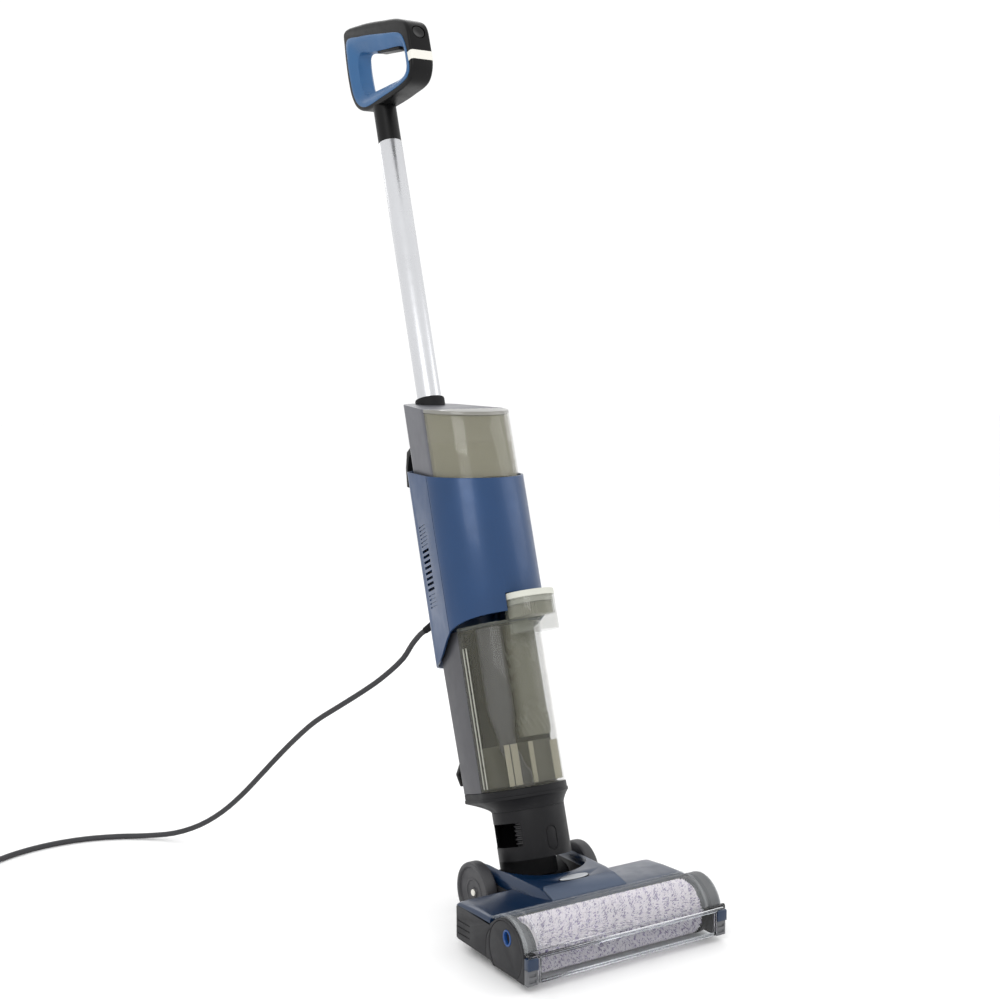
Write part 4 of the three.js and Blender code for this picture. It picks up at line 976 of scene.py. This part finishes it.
# ---------------------------------------------------------------- tanks
def make_dirty_tank():
    rim = 299
    front = (-80, 80, -120, SEAM_Y - 0.15)
    tub = prism(plan(PLAN["lower"]), 109.3, rim)
    keep(tub, box(*front, 100, 320))
    room = prism(plan(PLAN["lower"], 2.2), 111.7, 305)
    keep(room, box(-80, 80, -120, SEAM_Y - 2.4, 100, 320))
    cut(tub, room, disc(13.3, -6, -30, 100, 120))
    soften(tub, 0.7, 2, 40)
    marks = [box(-54.5, -53.2, -28.4, -25.6, z, z + 0.9) for z in (137, 166, 195, 224, 253)]
    ribs = [box(-54.4, -53.4, y, y + 1.6, 113, 278) for y in (-22.5, -29.5)]
    back = SEAM_Y - 2.7
    shade = box(-50, 50, back - 0.6, back - 0.1, 160, 296)
    pale = [box(x0, x1, -52, -51, 112.4, 160) for x0, x1 in ((-46, -30), (-28, -19))] + [
        box(-4, 2, -53, -52, 112.4, 160), box(26, 34, -53, -52, 112.4, 158), box(36, 47, -50, -49, 112.4, 158)]
    # Painted shade: darker walls low at the back and in the middle of the tank stand for the shade deep inside it, as
    # the dark back sheet above does.
    deep = [box(-48, 48, back - 1.4, back - 0.7, 112.4, 160), box(3, 25, -48, -47, 112.4, 160)]
    piece("dirty_tank_tub", merged([tub]), UPRIGHT, "smoke", "dirty_tank", "smoke", "dirty_tank")
    piece("dirty_tank_marks", merged(marks), UPRIGHT, "rubber", "dirty_tank", "black")
    piece("dirty_tank_ribs", merged(ribs), UPRIGHT, "tank_rib", "dirty_tank", "smoke")
    piece("dirty_tank_back_shade", shade, UPRIGHT, "tank_shade", "dirty_tank", "smoke")
    pale, deep = merged(pale), merged(deep)
    for walls in (pale, deep):
        keep(walls, prism(plan(PLAN["lower"], 2.8), 112, 298))
    piece("dirty_tank_pale_walls", pale, UPRIGHT, "chamber", "dirty_tank", "smoke")
    piece("dirty_tank_painted_shade_walls", deep, UPRIGHT, "chamber_dark", "dirty_tank", "smoke")

    centre = [(-6, -30, 13, 109.5), (-6, -30, 13, 122), (-13, -31, 10, 142), (-20, -32, 10, 158),
              (-22, -33, 16, 205), (-22, -33, 16, 298)]
    rings = []
    for k in range(len(centre) - 1):
        a, b = centre[k], centre[k + 1]
        for i in range(8):
            f = i / 8
            e = f * f * (3 - 2 * f)
            x, y, r = (a[n] + (b[n] - a[n]) * e for n in range(3))
            z = a[3] + (b[3] - a[3]) * f
            rings.append([(p[0], p[1], z) for p in arc(x, y, r, r, 0, 354, 59)])
    rings.append([(p[0], p[1], 298) for p in arc(-22, -33, 16, 16, 0, 354, 59)])
    column = skin(rings)
    cut(column, disc(14, -22, -33, 290, 300))
    piece("inlet_column", column, UPRIGHT, "tank_column", "dirty_tank", "dark_grey", "inlet_pipe", sharp=50)

    rings = []
    for i in range(67):
        z = 166 + 2 * i
        ring = []
        for k in range(144):
            t = 2 * math.pi * k / 144
            knurl = 0.45 * (1 + math.cos(18 * t + z * 0.45)) if 170 <= z <= 190 else 0
            r = 19.1 + knurl
            ring.append((13 + r * math.cos(t), -43 + r * math.sin(t), z))
        rings.append(ring)
    strainer = skin(rings)
    cut(strainer, disc(17.5, 13, -43, 168, 310))
    piece("separator_tube", strainer, UPRIGHT, "olive", "dirty_tank", "olive", "separator", sharp=50)

    lid = prism(plan(PLAN["lower"]), rim + 0.3, rim + 4)
    keep(lid, box(*front, 290, 310))
    skirt = disc(COLLAR_R, COLLAR_X, COLLAR_Y, rim - 14, 325, 96)
    cut(skirt, prism(plan(PLAN["lower"], -0.3), 200, rim + 0.3))
    join(lid, skirt)
    cut(lid, disc(COLLAR_R - 2.4, COLLAR_X, COLLAR_Y, rim + 4.5, 326, 96), disc(14, 13, -43, 270, 310))
    soften(lid, 0.6, 2, 40)
    piece("dirty_tank_collar", lid, UPRIGHT, "tint", "dirty_tank", "clear", "dirty_tank_lid")

    # Pleated filter paper between two end discs.
    pleats = []
    for z in (304.4, 317.8):
        ring = []
        for k in range(120):
            t = 2 * math.pi * k / 120
            r = COLLAR_R - (4.6 if k % 2 else 7.4)
            ring.append((COLLAR_X + r * math.cos(t), COLLAR_Y + r * math.sin(t), z))
        pleats.append(ring)
    piece("filter_pleats", skin(pleats), UPRIGHT, "filter", "dirty_tank", "foam", "filter", sharp=15)
    r = COLLAR_R
    band = lathe([(r - 6, 318.6), (r - 3, 318.6), (r - 3, 325.3), (r - 0.5, 325.3), (r, 325.8), (r, 332.2),
                  (r - 0.6, 332.8), (0.01, 332.8), (0.01, 329.6), (r - 6, 329.6)], COLLAR_X, COLLAR_Y, 96)
    piece("filter_cap_band", band, UPRIGHT, "cream", "dirty_tank", "white", "filter_frame", sharp=30)
    bob = lathe([(0.01, 226), (6.6, 226), (8, 227.4), (8, 238.6), (6.6, 240), (3.2, 240.4), (3.2, 279),
                 (2.4, 280), (0.01, 280)], 37, -27, 48)
    piece("float_bob", bob, UPRIGHT, "white", "float", "white", "float")


def make_clean_tank():
    s0 = 472.6
    edge = SEAM_Y - 6
    column = prism(plan(PLAN["clean"]), s0, 620)
    keep(column, box(-80, 80, edge + 0.15, 110, 460, 630))
    cut(column, above(*CLEAN_TOP, CLEAN_SLOPE))
    soften(column, 1.2, 3, 40)
    room = prism(plan(PLAN["clean"], 3), s0 - 1, 620)
    keep(room, box(-80, 80, SEAM_Y - 3, 110, 460, 630))
    cut(room, above(CLEAN_TOP[0], CLEAN_TOP[1] - 3, CLEAN_SLOPE), disc(18.2, 0, TUBE_Y, 460, 640))
    cut(column, room, disc(TUBE_R + 0.3, 0, TUBE_Y, 450, 640), rod_y(5.3, 60, 110, 0, 543))
    piece("tank_spine", column, UPRIGHT, "column_grey", "upright", "mid_grey", "tank_column", sharp=40)

    region = (-80, 80, -120, edge - 0.15)
    tank = prism(plan(PLAN["clean"]), s0, 620)
    keep(tank, box(*region, 460, 630))
    cut(tank, above(CLEAN_TOP[0], CLEAN_TOP[1] - 5, CLEAN_SLOPE))
    soften(tank, 1.0, 2, 40)
    room = prism(plan(PLAN["clean"], 2.2), s0 + 2.4, 640)
    keep(room, box(-80, 80, -120, SEAM_Y - 8.6, 460, 650))
    cut(tank, room, disc(6.3, 0, -30, 460, 480))
    piece("clean_tank_cup", tank, UPRIGHT, "smoke_pale", "clean_tank", "smoke", "clean_tank", sharp=40)

    lid = prism(plan(PLAN["clean"], -0.4), 540, 620)
    keep(lid, box(-80, 80, -120, edge - 0.15, 460, 630))
    cut(lid, above(*CLEAN_TOP, CLEAN_SLOPE), under(CLEAN_TOP[0], CLEAN_TOP[1] - 4.7, CLEAN_SLOPE))
    soften(lid, 0.9, 3, 40)
    piece("clean_tank_top", lid, UPRIGHT, "smoke_edge", "clean_tank_lid", "smoke", "clean_tank_lid", sharp=40)

    water = prism(plan(PLAN["clean"], 2.5), s0 + 2.7, 600)
    keep(water, box(-80, 80, -120, SEAM_Y - 8.9, 460, 630))
    cut(water, above(-69, 515, math.tan(LEAN)), disc(6.6, 0, -30, 460, 480))
    piece("clean_water", water, UPRIGHT, "water", "clean_tank", "clear", sharp=40)


# ---------------------------------------------------------------- tube and handle
def make_tube():
    tube = lathe([(14, 470), (TUBE_R, 470), (TUBE_R, 954.6), (TUBE_R - 0.3, 955), (14, 955)], 0, TUBE_Y, 72)
    piece("aluminium_tube", tube, UPRIGHT, "tube", "upright", "tube_alu", "tube", sharp=40)
    gasket = lathe([(TUBE_R + 0.3, 585), (18.9, 585), (18.9, 604), (18.3, 605.6), (17.4, 606), (TUBE_R + 0.3, 606)],
                   0, TUBE_Y, 72)
    cut(gasket, under(CLEAN_TOP[0], CLEAN_TOP[1] + 0.3, CLEAN_SLOPE))
    piece("tube_boot", gasket, UPRIGHT, "rubber", "upright", "rubber", "tube_gasket", sharp=40)


OUTER = [(110, 1137), (66, 1126), (6, 1101), (-34, 1082), (-52, 1066), (-55, 1040), (-52, 1010), (-38, 996),
         (0, 997), (48, 1004), (88, 1013), (106, 1026), (115, 1045), (118, 1072), (115, 1118)]
MIDDLE = [(104, 1121), (69, 1110), (9, 1083.5), (-36, 1060), (-43, 1046), (-46, 1023), (-45, 1009), (-39, 1002),
          (-24, 1000), (34, 1007), (83, 1016), (99, 1028), (106, 1042), (109, 1064), (109, 1096)]
INNER = [(84, 1094), (56, 1082), (20, 1068), (-24, 1050), (-31, 1042), (-30, 1022), (-24, 1014), (-12, 1012),
         (18, 1018), (57, 1027), (86, 1036), (93, 1048), (95, 1066), (92, 1088)]


def flat_points(points, per):
    return [tuple(p)[:2] for p in spline(points, per)]


def even(points, count):
    """A closed outline with evenly spaced points."""
    pts = [Vector(p) for p in points]
    pts.append(pts[0])
    total = sum((b - a).length for a, b in zip(pts, pts[1:]))
    out, walked, want = [], 0, 0
    for a, b in zip(pts, pts[1:]):
        length = (b - a).length
        while want < walked + length - 1e-6 and len(out) < count:
            out.append(tuple(a.lerp(b, (want - walked) / length)))
            want += total / count
        walked += length
    return out


def rounded_slab(points, half, radius, steps=6):
    rings = []
    for side in (-1, 1):
        order = range(steps + 1) if side < 0 else range(steps, -1, -1)
        for k in order:
            t = math.pi / 2 * k / steps
            x = side * (half - radius * (1 - math.cos(t)))
            rings.append([(x, y, z) for y, z in inward(points, radius * (1 - math.sin(t)))])
    return skin(rings)


def make_handle():
    outer = flat_points(OUTER, 10)
    shell = rounded_slab(outer, 16, 4)
    neck = disc(15.2, 0, TUBE_Y, 955.3, 1013)
    spigot = disc(13.7, 0, TUBE_Y, 935, 957)
    join(shell, neck, spigot)
    tilt = (-46, 1054)
    well = turn(rod_y(9.3, -14, 0, 0, 0), -10, "X")
    well.data.transform(Matrix.Translation((0, *tilt)))
    cut(shell, slab(flat_points(MIDDLE, 10), -30, 30), well)
    piece("handle_moulding", shell, UPRIGHT, "black", "upright", "black", "handle_shell", sharp=34)

    section = [(-16.4, 0.0), (-17.0, 0.05), (-17.0, 0.30), (-16.4, 0.38), (-10.6, 0.92), (-9.4, 1.0), (9.4, 1.0),
               (10.6, 0.92), (16.4, 0.38), (17.0, 0.30), (17.0, 0.05), (16.4, 0.0)]
    inner = even(flat_points(INNER, 12), 480)
    rings = []
    middle = even(flat_points(MIDDLE, 12), 160)
    for m in middle:
        n = min(inner, key=lambda p: (p[0] - m[0]) ** 2 + (p[1] - m[1]) ** 2)
        rings.append([(x, m[0] + (n[0] - m[0]) * f, m[1] + (n[1] - m[1]) * f) for x, f in section])
    grip = skin(rings, closed=True)
    slot = turn(box(-8, 8, -32, 32, -8, 11.5), 22, "X")
    slot.data.transform(Matrix.Translation((0, 14, 1066)))
    cut(grip, slot)
    piece("grip_moulding", grip, UPRIGHT, "grip_blue", "upright", "grip_blue", "handle_grip", sharp=34)

    trigger = box(-7.5, 7.5, -30, 30, -3.5, 6)
    soften(trigger, 1.6, 3)
    turn(trigger, 22, "X")
    trigger.data.transform(Matrix.Translation((0, 14, 1066)))
    piece("trigger_bar", trigger, UPRIGHT, "black", "spray_trigger", "black", "spray_trigger")
    button = lathe([(0.01, 3), (8.7, 3), (8.7, 7.0), (8.1, 7.9), (7.2, 8.0), (5.6, 7.2), (0.01, 6.7)], 0, 0, 48)
    turn(button, 90, "X")
    turn(button, -10, "X")
    button.data.transform(Matrix.Translation((0, *tilt)))
    piece("power_push", button, UPRIGHT, "gloss_black", "power_button", "black", "power_button", sharp=40)
    band = rounded_slab(inward(outer, -0.35), 16.35, 4.2)
    keep(band, box(-18, 18, -80, -40, 1018, 1029.5))
    piece("blank_band", band, UPRIGHT, "white", "upright", "white", sharp=34)


# ---------------------------------------------------------------- floor, light and the rest
REST = {
    "squeegee": "rubber", "suction_throat": "black", "spray_bar": "mid_grey", "brush_core": "black",
    "brush_motor": "steel", "driven_pulley": "black", "motor_pulley": "black", "drive_belt": "rubber",
    "release_spring": "steel", "water_pump": "mid_grey", "tank_deck": "dark_grey", "motor_mount": "mid_grey",
    "suction_motor": "steel", "impeller": "silver", "control_board": "board",
}


def finish_rest():
    for name, key in REST.items():
        node = frame["nodes"][name]
        node.data.materials.clear()
        node.data.materials.append(MAT[key])
        node.data.set_sharp_from_angle(angle=math.radians(30))


def make_floor():
    size = 14.0
    mesh = bpy.data.meshes.new("floor")
    mesh.from_pydata([(-size, -size, 0), (size, -size, 0), (size, size, 0), (-size, size, 0)], [], [(0, 1, 2, 3)])
    floor = bpy.data.objects.new("floor", mesh)
    bpy.context.collection.objects.link(floor)
    mesh.materials.append(moulded("pale_floor", "fafafa", (0.7, 0.8), 60, 0.02, vary=0.008))


def make_light():
    scene = bpy.context.scene
    world = bpy.data.worlds.new("studio")
    world.use_nodes = True
    world.node_tree.nodes["Background"].inputs["Color"].default_value = (1, 1, 1, 1)
    world.node_tree.nodes["Background"].inputs["Strength"].default_value = 1.06
    scene.world = world
    scene.view_settings.view_transform = "Standard"
    for name, place, size, power in (("key", (-1.6, -1.6, 1.9), 1.2, 17), ("fill", (1.9, -1.0, 1.3), 1.4, 8),
                                     ("back", (0.4, 1.9, 1.9), 1.4, 11)):
        data = bpy.data.lights.new(name, "AREA")
        data.size = size
        data.energy = power
        light = bpy.data.objects.new(name, data)
        light.location = place
        aim = Vector((0, -0.05, 0.45)) - light.location
        light.rotation_euler = aim.to_track_quat("-Z", "Y").to_euler()
        bpy.context.collection.objects.link(light)


cord, cord_path = make_cord()
relief = make_relief()
plug, prongs = make_plug()
tie = make_tie()
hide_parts("cord", "cord_coil")
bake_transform(cord)
make_camera()
make_head()
make_cheeks()
make_end_cap()
make_brush()
make_brush_cover()
make_wheels()
make_yoke()
make_neck()
make_casing()
make_shells()
make_hooks()
make_dirty_tank()
make_clean_tank()
make_tube()
make_handle()
finish_rest()
make_floor()
make_light()
